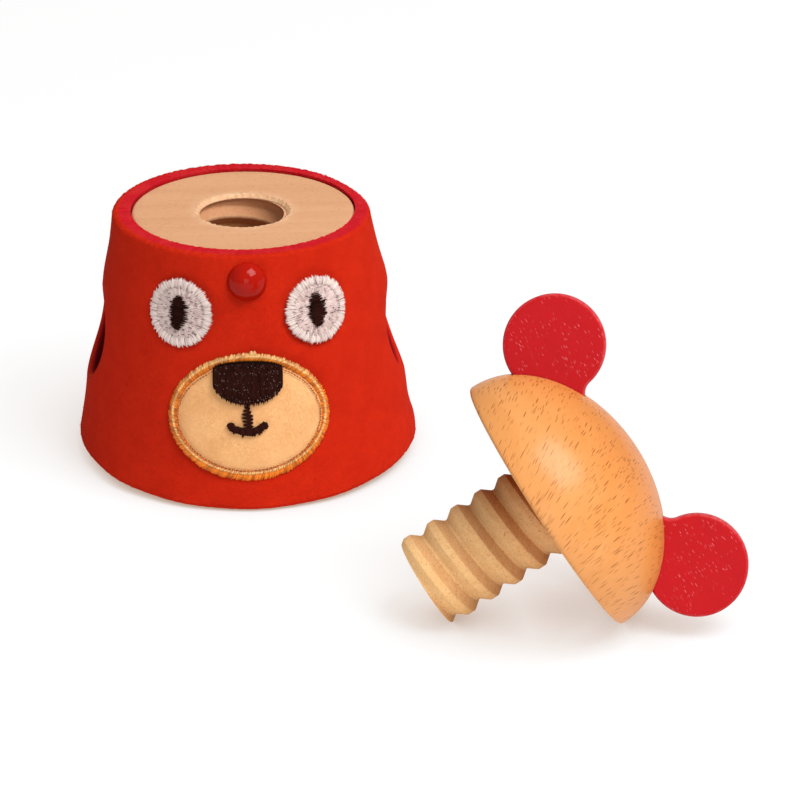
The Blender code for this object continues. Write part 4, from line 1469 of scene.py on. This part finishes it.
@dataclass
class Muzzle:
    """The felt muzzle with its satin border, and the nose and mouth stitched on it."""

    spot: Spot = Spot(0.0, 0.0221)
    half_width: float = 0.0180
    half_height: float = 0.0147
    egg: float = 0.02
    border_width: float = 0.0023
    border_count: int = 300
    row_count: int = 240
    nose_half_width: float = 0.0074
    nose_shift: float = -0.0002
    nose_top: float = 0.0130
    nose_crown: float = 0.0007
    nose_side: float = 0.0041
    nose_chin: float = 0.0052
    nose_strands: int = 30
    speck_count: int = 170
    mouth_height: float = -0.0033
    mouth_half_width: float = 0.0036
    mouth_shift: float = -0.0005
    mouth_sag: float = 0.0015
    stroke: float = 0.0017

    def outline(self, angle: Array, inset: Array | float = 0.0) -> Array:
        """The muzzle's outline, an ellipse that narrows a little upwards, drawn in by inset.

        Args:
            angle: Angles from the right, anticlockwise.
            inset: Distances inward.

        Returns:
            Points, (n, 2).
        """
        wide = (self.half_width - inset) * (1 - self.egg * np.sin(angle))
        return np.stack([wide * np.cos(angle), (self.half_height - inset) * np.sin(angle)], axis=-1)

    def build_patch(self, material: bpy.types.Material) -> None:
        """Makes the felt patch: it swells a little from its edge to its middle.

        Args:
            material: Peach felt.
        """
        shares = np.linspace(0, 1, 40)
        angle = TURN * np.arange(180) / 180
        edge = self.outline(angle, self.border_width * 0.8)
        plan = edge[None] * shares[:, None, None]
        rng = np.random.default_rng(8)
        lift = 0.00045 + 0.0006 * (1 - shares[:, None] ** 8)
        for _ in range(10):
            wave = rng.uniform(-500, 500, 2)
            lift = lift + 0.00003 * np.sin(plan[..., 0] * wave[0] + plan[..., 1] * wave[1] + rng.uniform(0, TURN))
        above = self.spot.lay(plan[..., 0], plan[..., 1], lift)
        low = shares[::-4]
        under = edge[None] * low[:, None, None]
        below = self.spot.lay(under[..., 0], under[..., 1], 0.0003)
        patch = skin(np.concatenate([above, below])).piece("muzzle_felt")
        settle(patch, Body.NUT, "peach_felt", material, "muzzle_patch")

    def build_border(self, material: bpy.types.Material) -> None:
        """Makes the satin border: a round bead under slanting stitches, with a thin dark running stitch inside.

        Args:
            material: Gold thread.
        """
        rng = np.random.default_rng(3)
        columns = 240
        angle = TURN * np.arange(columns) / columns
        across = np.linspace(0, 1, 11)
        heights = 0.00005 + 0.00080 * np.sin(np.pi * across) ** 0.8
        over = [
            self.spot.lay(*self.outline(angle, (0.06 + 0.88 * share) * self.border_width).T, height)
            for share, height in zip(across, heights)
        ]
        under = [self.spot.lay(*self.outline(angle, share * self.border_width).T, 0.00002) for share in (0.8, 0.5, 0.2)]
        # The bead under the stitches is darkened as painted shade between them.
        parts = [skin(np.stack(over + under), round_rows=True, tint=0.2, dip=0.6, band=0.3)]

        count = self.border_count
        start = TURN * (np.arange(count) + rng.uniform(-0.25, 0.25, count)) / count
        outer = self.outline(start, rng.uniform(-0.00027, 0.00008, count))
        inner = self.outline(start + 0.050, self.border_width + rng.uniform(-0.00022, 0.00012, count))
        # Painted highlight: on the top the stitches' outer ends take the pale outer colour, as on a bead lit from
        # above.
        top_highlight = np.clip(np.sin(start), 0, 1)
        parts.append(
            stitches(
                self.spot,
                inner,
                outer,
                0.00040,
                0.00082,
                rng,
                0.00008,
                (0.40 * (1 - top_highlight), 0.20 + 0.70 * top_highlight),
                (0.05, 1.25),
                0.20,
                2.0,
                steps=10,
            )
        )
        # Painted highlight: a row of short pale stitches along the side of the bead that faces up.
        count = self.row_count
        start = TURN * (np.arange(count) + rng.uniform(-0.2, 0.2, count)) / count
        inset = 0.00125 - 0.00062 * np.sin(start)
        reach = rng.uniform(0.00028, 0.00042, count)
        parts.append(
            stitches(
                self.spot,
                self.outline(start + 0.016, inset + reach),
                self.outline(start - 0.016, inset - reach),
                0.00030,
                0.00020,
                rng,
                0.00084,
                (1.0, 1.0),
                (0.35, 1.35),
                0.25,
                steps=5,
            )
        )
        spread = np.linspace(-1, 1, 7)
        for middle in (1.535, 1.495):
            foot = self.outline(middle + 0.012 * spread, 0.0007)
            tip = self.outline(middle + 0.020 * spread, -0.0010 * (0.25 + 0.45 * (1 - spread**2)))
            parts.append(stitches(self.spot, foot, tip, 0.00026, 0.0003, rng, 0.0005, (1.0, 1.0), blunt=0.25))
        dashes = 120
        first = TURN * np.arange(dashes) / dashes
        line = self.border_width + 0.00012
        parts.append(
            stitches(
                self.spot,
                self.outline(first, line + rng.uniform(-0.0001, 0.0001, dashes)),
                self.outline(first + 0.042, line + rng.uniform(-0.0001, 0.0001, dashes)),
                0.00027,
                0.00012,
                rng,
                ground=0.00098,
                tints=(-1.0, 0.5),
            )
        )
        border = Shell.joined(parts).piece("muzzle_satin_border")
        settle(border, Body.NUT, "gold_thread", material, "muzzle_border")

    def nose_edges(self, x: Array) -> tuple[Array, Array]:
        """The nose's lower and upper edge at distances from its middle: a half ellipse below, a low arch above."""
        share = np.clip(np.abs(x) / self.nose_half_width, 0, 1)
        low = self.nose_top - self.nose_side - self.nose_chin * np.sqrt(1 - share**2)
        high = self.nose_top + self.nose_crown * (1 - share**2) - 0.0007 * np.clip((share - 0.72) / 0.28, 0, 1) ** 2
        return low - self.nose_crown, high - self.nose_crown

    def build_nose(self, material: bpy.types.Material) -> None:
        """Makes the nose: upright strands with pointed ends, a second row over them, and small pale stitches, painted
        glints.

        Args:
            material: Dark thread.
        """
        rng = np.random.default_rng(14)
        count = self.nose_strands
        x = np.linspace(-1, 1, count) * self.nose_half_width * 0.965
        low, high = self.nose_edges(x)
        longer = np.where(np.arange(count) % 2, 0.00034, 0.00008)
        bottom = low - longer - rng.uniform(0, 0.00016, count)
        top = high + longer * 0.8 + rng.uniform(0, 0.00014, count)
        starts = np.stack([x + rng.normal(0, 0.00006, count), bottom], axis=-1)
        ends = np.stack([x + rng.normal(0, 0.00006, count), top], axis=-1)
        spread = TURN * np.arange(96) / 96
        edge_x = self.nose_half_width * 0.97 * np.cos(spread)
        edge_low, edge_high = self.nose_edges(edge_x)
        outline = np.stack([edge_x, np.where(np.sin(spread) > 0, edge_high, edge_low)], axis=-1)
        middle = (0.0, self.nose_top - self.nose_side)

        columns, pieces, length = 46, 7, 0.0019
        over_x = np.linspace(-1, 1, columns) * self.nose_half_width * 0.95 + rng.normal(0, 0.00005, columns)
        over_low, over_high = self.nose_edges(over_x)
        first = over_low[:, None] + length * (np.arange(pieces)[None, :] + rng.uniform(-0.5, 0.1, (columns, 1)))
        last = first + length * rng.uniform(0.7, 1.05, (columns, pieces))
        y0 = np.clip(first, over_low[:, None] + 0.0002, over_high[:, None] - 0.0002)
        y1 = np.clip(last, over_low[:, None] + 0.0002, over_high[:, None] - 0.0002)
        kept = (y1 - y0) > 0.0005
        wide = np.broadcast_to(over_x[:, None], kept.shape)[kept]
        over_starts, over_ends = np.stack([wide, y0[kept]], axis=-1), np.stack([wide, y1[kept]], axis=-1)

        # Painted highlight: rows of small pale stitches stand in for glints at the stitch ends.
        count = self.speck_count
        speck_x = rng.uniform(-0.93, 0.93, count) * self.nose_half_width
        speck_low, speck_high = self.nose_edges(speck_x)
        rows = np.array([0.12, 0.34, 0.52, 0.74, 0.90])
        share = rng.choice(rows, count) + rng.normal(0, 0.035, count)
        specks = np.stack([speck_x, speck_low + share * (speck_high - speck_low)], axis=-1)
        up = np.stack([rng.normal(0, 0.00003, count), rng.uniform(0.00004, 0.00013, count)], axis=-1)
        shift = np.array([self.nose_shift, 0.0])
        starts, ends, over_starts, over_ends = (row + shift for row in (starts, ends, over_starts, over_ends))
        specks, outline, middle = specks + shift, outline + shift, tuple(shift + middle)
        parts = [
            pad(self.spot, outline, 0.0018, 0.0009, middle),
            stitches(
                self.spot, starts, ends, 0.00062, 0.00030, rng, 0.0016, (0.0, 0.0), (0.0, 0.6), 0.05, 6.0, steps=14
            ),
            stitches(
                self.spot, over_starts, over_ends, 0.00036, 0.00016, rng, 0.00186, (0.0, 0.0), (0.0, 0.9), 0.3
            ),
            stitches(self.spot, specks - up, specks + up, 0.00012, 0.00006, rng, 0.00218, (1.0, 1.0), (0.0, 1.5)),
        ]
        nose = Shell.joined(parts).piece("nose_stitches")
        settle(nose, Body.NUT, "dark_thread", material, "nose_stitching")

    def build_mouth(self, material: bpy.types.Material) -> None:
        """Makes the mouth: slanting stitches down a stem, and stitches across a smile, which fan out at its ends.

        The smile is an arc through its lowest point and its two ends.

        Args:
            material: Dark thread.
        """
        rng = np.random.default_rng(9)
        low, _ = self.nose_edges(np.zeros(1))
        count = 15
        stem_y = np.linspace(low[0] + 0.0002, self.mouth_height + 0.0008, count)
        half = np.interp(stem_y, [self.mouth_height, low[0] - 0.0022, low[0]], [0.00110, 0.00100, 0.00030])
        ragged = rng.uniform(-0.0001, 0.00035, (2, count))
        slant = np.where(np.arange(count) % 2, 0.00030, -0.00022)
        stem_starts = np.stack([self.mouth_shift - half - ragged[0], stem_y - slant], axis=-1)
        stem_ends = np.stack([self.mouth_shift + half + ragged[1], stem_y + slant * 0.6], axis=-1)
        bend = (self.mouth_half_width**2 + self.mouth_sag**2) / (2 * self.mouth_sag)
        widest = math.asin(self.mouth_half_width / bend)
        centre = np.array([self.mouth_shift, self.mouth_height + bend])

        along = np.linspace(-widest, widest, 19)
        spoke = np.stack([np.sin(along), -np.cos(along)], axis=-1)
        reach = self.stroke / 2 + rng.uniform(-0.00010, 0.00050, (2, 19)) * np.array([[1.0], [0.6]])
        smile_starts = centre + spoke * (bend - reach[1][:, None])
        smile_ends = centre + spoke * (bend + reach[0][:, None])
        parts = [
            stitches(self.spot, stem_starts, stem_ends, 0.00050, 0.00036, rng, 0.0013, tints=(0.1, 1.0), blunt=0.12),
            stitches(self.spot, smile_starts, smile_ends, 0.00056, 0.00036, rng, 0.0013, tints=(0.1, 1.0), blunt=0.03),
        ]
        for side in Side:
            end = centre + bend * np.array([side.value * math.sin(widest), -math.cos(widest)])
            turn = np.linspace(-0.2, 3.3, 10) * side.value - math.pi / 2 + side.value * widest
            ray = np.stack([np.cos(turn), np.sin(turn)], axis=-1)
            outward = end + ray * (0.00085 + rng.uniform(-0.0001, 0.00025, 10))[:, None]
            parts.append(
                stitches(self.spot, end - ray * 0.0002, outward, 0.00050, 0.00040, rng, 0.0013, tints=(0.1, 1.0), blunt=0.12)
            )
        mouth = Shell.joined(parts).piece("mouth_stitches")
        settle(mouth, Body.NUT, "dark_thread", material, "mouth_stitching")

    def build(self, patch, border, dark) -> None:
        """Makes the muzzle's four pieces.

        Args:
            patch: Peach felt.
            border: Gold thread.
            dark: Dark thread.
        """
        self.build_patch(patch)
        self.build_border(border)
        self.build_nose(dark)
        self.build_mouth(dark)


@dataclass
class Bolt:
    """The bolt: a dome with two ears, a threaded shank and the dowel between them.

    Its own frame has its origin in the middle of the seat, Z along the joint's axis to the crown, and X from the left
    ear to the right one.
    """

    dome_radius: float = 0.0297
    dome_height: float = 0.0231
    rim_round: float = 0.0008
    gap: float = 0.0003
    dowel_radius: float = 0.0040
    dowel_in_dome: float = 0.0120
    dowel_in_shank: float = 0.0140
    shank_length: float = 0.0302
    tip_chamfer: float = 0.0006
    ear_radius: float = 0.0109
    ear_thickness: float = 0.0050
    ear_out: float = 0.0277
    ear_up: float = 0.0203
    ear_edge: float = 0.0006
    tongue_half_width: float = 0.0070
    tongue_length: float = 0.0060
    tongue_fillet: float = 0.0030
    # The shank's upper side, where the dome's painted shadow is darkest.
    upper_turn: float = math.radians(140)

    def __post_init__(self) -> None:
        """Reads the bolt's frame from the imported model."""
        joint = next(joint for joint in frame["joints"] if joint["name"] == "bolt_turn")
        axis = np.array(joint["axis"], dtype=float)
        axis /= np.linalg.norm(axis)
        middles = []
        for side in Side:
            vertices = frame["nodes"][f"{side.word}_ear"].data.vertices
            flat = np.empty(3 * len(vertices))
            vertices.foreach_get("co", flat)
            middles.append(flat.reshape(-1, 3).mean(axis=0))
        across = middles[1] - middles[0]
        across -= axis * (across @ axis)
        across /= np.linalg.norm(across)
        self.origin = np.array(joint["pos_m"], dtype=float)
        self.axes = np.stack([across, np.cross(axis, across), axis])
        placement = np.eye(4)
        placement[:3, :3] = self.axes.T
        placement[:3, 3] = self.origin
        self.placement = Matrix(placement.tolist())

    def placed(self, local: Array) -> Array:
        """Points of the bolt's own frame in the world."""
        return local @ self.axes + self.origin

    def ear_points(self, side: Side, grow: float) -> tuple[Array, Array]:
        """A plate with the ear's outline: a disc, a tongue that points at the seat, and fillets between them.

        Rows go from a pole on one face, out to the edge, round it, and back to a pole on the other face. The outline
        is drawn in along its own normals where the edge rounds.

        Args:
            side: The ear.
            grow: How much it is widened on every side.

        Returns:
            The grid in the bolt's frame, and how near each point is to an edge.
        """
        disc, half, fillet = self.ear_radius + grow, self.tongue_half_width + grow, self.tongue_fillet - grow
        across = half + fillet
        along = math.sqrt((disc + fillet) ** 2 - across**2)
        lean = math.degrees(math.atan2(along, across))
        end = -(self.ear_radius + self.tongue_length + grow)
        corner = self.tongue_fillet / 2
        outline = path(
            arc((half - corner, end + corner), corner, -90, 0, 4),
            arc((across, -along), fillet, 180, 180 - lean, 8),
            arc((0, 0), disc, -lean, 180 + lean, 120),
            arc((-across, -along), fillet, lean, 0, 8),
            arc((corner - half, end + corner), corner, 180, 270, 4),
        )
        closed = np.concatenate([outline[-1:], outline, outline[:1]])
        tangent = closed[2:] - closed[:-2]
        normal = np.stack([tangent[:, 1], -tangent[:, 0]], axis=-1) / np.linalg.norm(tangent, axis=1)[:, None]
        edge = self.ear_edge if grow == 0 else 0.0
        thick = self.ear_thickness / 2 + grow
        rounding = np.radians(np.linspace(0, 90, 6))
        inset = np.concatenate([edge * (1 - np.sin(rounding)), (edge * (1 - np.sin(rounding)))[::-1]])
        level = np.concatenate([thick - edge * (1 - np.cos(rounding)), (edge * (1 - np.cos(rounding)) - thick)[::-1]])
        rim = outline[None] - normal[None] * inset[:, None, None]
        shares = np.array([0.0, 0.35, 0.7, 0.93])
        front = rim[:1] * shares[:, None, None]
        plan = np.concatenate([front, rim, front[::-1]])
        depth = np.concatenate([np.full(4, thick), level, np.full(4, -thick)])
        near = np.concatenate([np.zeros(4), 1 - np.abs(np.linspace(-1, 1, 12)) ** 3, np.zeros(4)])
        tilt = math.atan2(self.ear_out, self.ear_up)
        x = self.ear_out + plan[..., 1] * math.sin(tilt) + plan[..., 0] * math.cos(tilt)
        z = self.ear_up + plan[..., 1] * math.cos(tilt) - plan[..., 0] * math.sin(tilt)
        y = np.broadcast_to(depth[:, None], x.shape)
        local = np.stack([x * side.value, y * side.value, z], axis=-1)
        return local, np.broadcast_to(near[:, None], x.shape)

    def build_dome(self, material: bpy.types.Material) -> None:
        """Makes the dome: half an ellipsoid with a rounded rim and a flat underside, cut for the ears.

        Args:
            material: Lacquered beech.
        """
        rise = self.dome_height - self.rim_round
        angle = np.radians(np.linspace(90, 0, 60))
        crown = np.stack([self.dome_radius * np.cos(angle), self.rim_round + rise * np.sin(angle)], axis=-1)
        rim = arc((self.dome_radius - self.rim_round, self.rim_round), self.rim_round, 0, -90, 6)
        hole = self.dowel_radius + self.gap
        floor = self.dowel_in_dome + self.gap
        under = run(tuple(rim[-1]), (hole, 0.0), 12)
        profile = path(crown, rim, under, run((hole, 0.0), (hole, floor), 2), run((hole, floor), (0.0, floor), 1))
        points = turned(profile, 200)
        # Painted shade: the lacquered wood darkens towards the crown.
        crown_shade = np.clip(points[..., 2] / self.dome_height, 0, 1) ** 1.5
        dome = skin(self.placed(points), shade=1.25 * crown_shade).piece("turned_dome")
        slots = [skin(self.placed(self.ear_points(side, self.gap)[0]), shade=0.0).piece(f"{side.word} slot") for side in Side]
        carve(dome, *slots)
        settle(dome, Body.BOLT, "lacquered_beech", material, "dome_cap")

    def build_ears(self, material: bpy.types.Material) -> None:
        """Makes the two ears.

        Args:
            material: Crimson paint.
        """
        for side in Side:
            points, near = self.ear_points(side, 0.0)
            ear = skin(self.placed(points), edge=near).piece(f"painted_{side.word}_ear")
            settle(ear, Body.BOLT, "crimson_paint", material, f"{side.word}_ear")

    def build_shank(self, material: bpy.types.Material) -> None:
        """Makes the shank: close rows that each take the thread's radius, a chamfered tip, and the dowel's hole.

        Args:
            material: Bare beech.
        """
        hole = self.dowel_radius + self.gap
        floor = -self.dowel_in_shank - self.gap
        crest = THREAD.crest_radius
        inside = path(run((0.0, floor), (hole, floor), 1), run((hole, floor), (hole, -self.gap), 4))
        top = run((hole, -self.gap), (crest, -self.gap), 5)
        side = run((crest, -self.gap), (crest, -self.shank_length), 190)
        tip = run((crest, -self.shank_length), (0.0, -self.shank_length), 8)
        profile = path(inside, top, side, tip)
        columns = 160
        angle = TURN * np.arange(columns) / columns
        radius, height = profile[:, :1], profile[:, 1:]
        threaded = THREAD.radius(angle, height)
        chamfered = crest + (height + self.shank_length) - self.tip_chamfer
        swept = np.minimum(radius, np.minimum(threaded, np.where(height < -self.gap - 1e-7, chamfered, crest)))
        points = np.stack([swept * np.cos(angle), swept * np.sin(angle), height + 0 * angle], axis=-1)
        # Painted shade: the thread's faces by facet, and a painted shadow of the dome near the seat, darkest on the
        # upper side. The speckle is the wood's own tone.
        facet_shade = THREAD.painted_facet_shade(angle, height)
        dome_shadow = np.exp(-((height / 0.0115) ** 2)) * (1.0 + 0.6 * np.cos(angle - self.upper_turn))
        speckle = np.random.default_rng(41).uniform(-0.13, 0.13, swept.shape)
        shade = np.where(radius > hole + 1e-6, np.clip(facet_shade + dome_shadow + speckle, 0, 1.6), 0.0)
        shank = skin(self.placed(points), shade=shade).piece("turned_shank")
        settle(shank, Body.BOLT, "bare_beech", material, "threaded_shank")

    def dress_dowel(self, material: bpy.types.Material) -> None:
        """Gives the hidden dowel, whose solid is right as it is, its wood."""
        dowel = frame["nodes"]["shank_dowel"]
        for slot in dowel.material_slots:
            slot.material = material
        log.info("shank_dowel: kept, on %s", Body.CARRIER.value)


# Studio


@dataclass
class Studio:
    """A pale floor, soft lamps and the photograph's camera."""

    camera_place: tuple[float, float, float] = (-0.01681, -0.88800, 0.40088)
    camera_heading: float = math.radians(3.40)
    camera_dip: float = math.radians(23.77)
    lens: float = 187.05
    floor_half: float = 6.0
    floor_bounce: Colour = (0.88, 0.87, 0.85)
    floor_seen: Colour = (0.170, 0.225, 0.262)
    floor_glow: Colour = (0.822, 0.770, 0.741)
    contact_shadow_tint: Colour = (0.52, 0.36, 0.26)
    contact_shadow_reach: float = 0.017

    def add_camera(self) -> None:
        """Makes the camera: it looks along its heading, dipped below the horizon."""
        cos, sin = math.cos(self.camera_dip), math.sin(self.camera_dip)
        ahead = np.array((math.sin(self.camera_heading) * cos, math.cos(self.camera_heading) * cos, -sin))
        right = np.array((math.cos(self.camera_heading), -math.sin(self.camera_heading), 0.0))
        axes = np.stack([right, np.cross(right, ahead), -ahead], axis=1)
        data = bpy.data.cameras.new("photo camera")
        data.lens = self.lens
        data.sensor_width = 36.0
        data.clip_start = 0.01
        camera = bpy.data.objects.new("photo camera", data)
        bpy.context.scene.collection.objects.link(camera)
        camera.matrix_world = Matrix.Translation(self.camera_place) @ Matrix(axes.tolist()).to_4x4()
        bpy.context.scene.camera = camera

    def add_lamp(self, name: str, place: tuple, aim: tuple, size: float, power: float, tint: Colour) -> None:
        """Makes a square area lamp.

        Args:
            name: The lamp's name.
            place: Where it stands.
            aim: The point that it faces.
            size: Its side in metres.
            power: Its power in watts.
            tint: Its colour.
        """
        data = bpy.data.lights.new(name, "AREA")
        data.shape = "SQUARE"
        data.size = size
        data.energy = power
        data.color = tint
        lamp = bpy.data.objects.new(name, data)
        bpy.context.scene.collection.objects.link(lamp)
        back = Matrix.Translation(place).translation - Matrix.Translation(aim).translation
        lamp.rotation_mode = "QUATERNION"
        lamp.rotation_quaternion = back.to_track_quat("Z", "Y")
        lamp.location = place

    def add_floor(self) -> None:
        """Makes the floor, a wide plane. To the camera and in reflections it is paler, so that shadows stay light."""
        half = self.floor_half
        mesh = bpy.data.meshes.new("floor")
        mesh.from_pydata([(-half, -half, 0), (half, -half, 0), (half, half, 0), (-half, half, 0)], [], [(0, 1, 2, 3)])
        floor = bpy.data.objects.new("floor", mesh)
        bpy.context.scene.collection.objects.link(floor)
        material, graph, shader = new_material("pale paper", Roughness=0.95, Specular_IOR_Level=0.0)
        seen = graph.node("LightPath").outputs
        direct = graph.math("MAXIMUM", seen["Is Camera Ray"], seen["Is Glossy Ray"])
        direct = graph.math("MAXIMUM", direct, seen["Is Transmission Ray"])
        graph.feed(shader.inputs["Base Color"], graph.mix(direct, self.floor_bounce, self.floor_seen))
        graph.feed(shader.inputs["Emission Strength"], direct)
        # Painted contact shadow: ambient occlusion darkens and warms the floor's glow near things.
        opened = graph.node("AmbientOcclusion", {"Distance": self.contact_shadow_reach}, samples=8).outputs["AO"]
        near = graph.math("POWER", graph.math("SUBTRACT", 1.0, opened, clamp=True), 1.9)
        shadowed_glow = tuple(glow * tint for glow, tint in zip(self.floor_glow, self.contact_shadow_tint))
        graph.feed(shader.inputs["Emission Color"], graph.mix(near, self.floor_glow, shadowed_glow))
        mesh.materials.append(material)

    def add_world(self) -> None:
        """Makes the world: soft even light, and white where the camera sees it."""
        world = bpy.data.worlds.new("studio")
        world.use_nodes = True
        tree = world.node_tree
        tree.nodes.clear()
        graph = Graph(tree)
        seen = graph.node("LightPath").outputs
        soft = graph.node("Background", {"Color": (1.0, 0.985, 0.96, 1.0), "Strength": 0.31})
        white = graph.node("Background", {"Color": (1.0, 0.998, 0.99, 1.0), "Strength": 1.0})
        direct = graph.math("MAXIMUM", seen["Is Camera Ray"], seen["Is Transmission Ray"])
        blend = graph.node("MixShader", {0: direct, 1: soft.outputs[0], 2: white.outputs[0]})
        output = graph.node("OutputWorld")
        graph.feed(output.inputs[0], blend.outputs[0])
        bpy.context.scene.world = world

    def build(self) -> None:
        """Sets up camera, lamps, floor and world."""
        self.add_camera()
        self.add_lamp("key", (0.56, -0.47, 1.18), (0.0, -0.03, 0.02), 0.85, 22.0, (1.0, 0.98, 0.95))
        self.add_lamp("front", (-0.1, -1.5, 0.5), (0.0, 0.0, 0.03), 0.7, 3.0, (1.0, 0.99, 0.97))
        self.add_floor()
        self.add_world()
        bpy.context.scene.view_settings.view_transform = "Standard"


NUT_BEECH = BeechFinish(
    name="turned beech",
    pale=(0.70, 0.380, 0.208),
    deep=(0.56, 0.270, 0.135),
    shaded=(0.36, 0.115, 0.018),
    fleck=(0.34, 0.120, 0.040),
    figure=Figure(share=0.75, reach=0.27, across=2700, along=700, deep=2700, rings=0.0034),
    roughness=0.62,
    fleck_strength=0.5,
    relief=0.00005,
)
SHANK_BEECH = BeechFinish(
    name="bare beech",
    pale=(1.0, 0.660, 0.330),
    deep=(0.88, 0.500, 0.210),
    shaded=(0.30, 0.070, 0.010),
    fleck=(0.33, 0.085, 0.016),
    specular=0.06,
    figure=Figure(share=0.90, reach=0.29, across=3400, along=1500, deep=3400, rings=0.0030),
    roughness=0.60,
    fleck_strength=0.75,
    relief=0.00005,
)
LACQUERED_BEECH = BeechFinish(
    name="lacquered beech",
    pale=(0.79, 0.362, 0.124),
    deep=(0.68, 0.262, 0.066),
    shaded=(0.54, 0.160, 0.018),
    fleck=(0.26, 0.066, 0.010),
    figure=Figure(share=0.85, reach=0.35, across=2800, along=290, deep=320, rings=0.0060, fan=(0.022, -0.050)),
    roughness=0.42,
    fleck_strength=0.90,
    relief=0.00002,
    coat=0.32,
    coat_roughness=0.25,
    specular=0.12,
)
CRIMSON = PaintFinish(
    name="crimson paint",
    paint=(0.495, 0.0060, 0.0105),
    deep=(0.430, 0.0050, 0.0085),
    pore=(0.86, 0.27, 0.30),
    figure=Figure(share=0.75, reach=0.27, across=2900, along=620, deep=1500, rings=0.0050),
    roughness=0.42,
)
RED_FELT = FeltFinish(
    name="red felt",
    face=(0.62, 0.0235, 0.0058),
    deep=(0.50, 0.0150, 0.0036),
    cut=(0.56, 0.0105, 0.020),
    fleece=(0.70, 0.045, 0.040),
    shadow=(0.110, 0.0030, 0.0050),
    relief=0.00011,
    sheen=0.0,
    fibre_strength=0.14,
)
PEACH_FELT = FeltFinish(
    name="peach felt",
    face=(1.0, 0.575, 0.260),
    deep=(0.80, 0.375, 0.145),
    cut=(0.88, 0.45, 0.20),
    fleece=(0.99, 0.64, 0.35),
    shadow=(0.60, 0.25, 0.10),
    relief=0.00012,
    sheen=0.0,
    fibre_strength=0.25,
)
GOLD_THREAD = ThreadFinish(
    name="gold thread",
    crown=(1.0, 0.285, 0.016),
    gap=(0.30, 0.052, 0.005),
    # Pale thread: the border's painted highlight, and the light loops at the top.
    outer=(1.0, 0.66, 0.27),
    roughness=0.34,
    specular=0.3,
)
WHITE_THREAD = ThreadFinish(
    name="white thread",
    crown=(0.86, 0.72, 0.69),
    gap=(0.38, 0.215, 0.210),
    outer=(0.97, 0.88, 0.83),
    roughness=0.36,
    specular=0.6,
)
DARK_THREAD = ThreadFinish(
    name="dark thread",
    crown=(0.046, 0.0100, 0.0065),
    gap=(0.006, 0.0015, 0.001),
    # The pale colour of the nose's painted glints.
    outer=(0.34, 0.22, 0.20),
    roughness=0.65,
    specular=0.04,
)
RED_GLOSS = GlossFinish(name="red gloss", stain=(0.42, 0.0075, 0.0020), deep=(0.33, 0.0055, 0.0015))


def main() -> None:
    """Builds every sub-assembly and the studio."""
    logging.basicConfig(level=logging.INFO, format="%(name)s %(message)s")
    groups = Groups.built()
    bolt = Bolt()
    muzzle = Muzzle()
    eyes = [Eye(side) for side in Side]
    drawn_in = [(eye.spot, eye.half_width, eye.half_height) for eye in eyes]
    drawn_in.append((muzzle.spot, muzzle.half_width, muzzle.half_height))

    level = Matrix.Rotation(TURN / 4, 4, "Y")
    nut_beech = NUT_BEECH.dressed(groups, level)
    shank_beech = SHANK_BEECH.dressed(groups, bolt.placement)
    dark = DARK_THREAD.dressed(groups)
    FeltSleeve().build(RED_FELT.dressed(groups), drawn_in)
    NutCore().build(nut_beech)
    ForeheadKnob().build(RED_GLOSS.dressed(groups))
    white = WHITE_THREAD.dressed(groups)
    for eye in eyes:
        eye.build(white, dark)
    muzzle.build(PEACH_FELT.dressed(groups), GOLD_THREAD.dressed(groups), dark)

    bolt.build_dome(LACQUERED_BEECH.dressed(groups, bolt.placement))
    bolt.build_ears(CRIMSON.dressed(groups, bolt.placement @ Matrix.Rotation(TURN / 4, 4, "Y")))
    bolt.build_shank(shank_beech)
    bolt.dress_dowel(shank_beech)
    Studio().build()


if __name__ == "__main__":
    main()
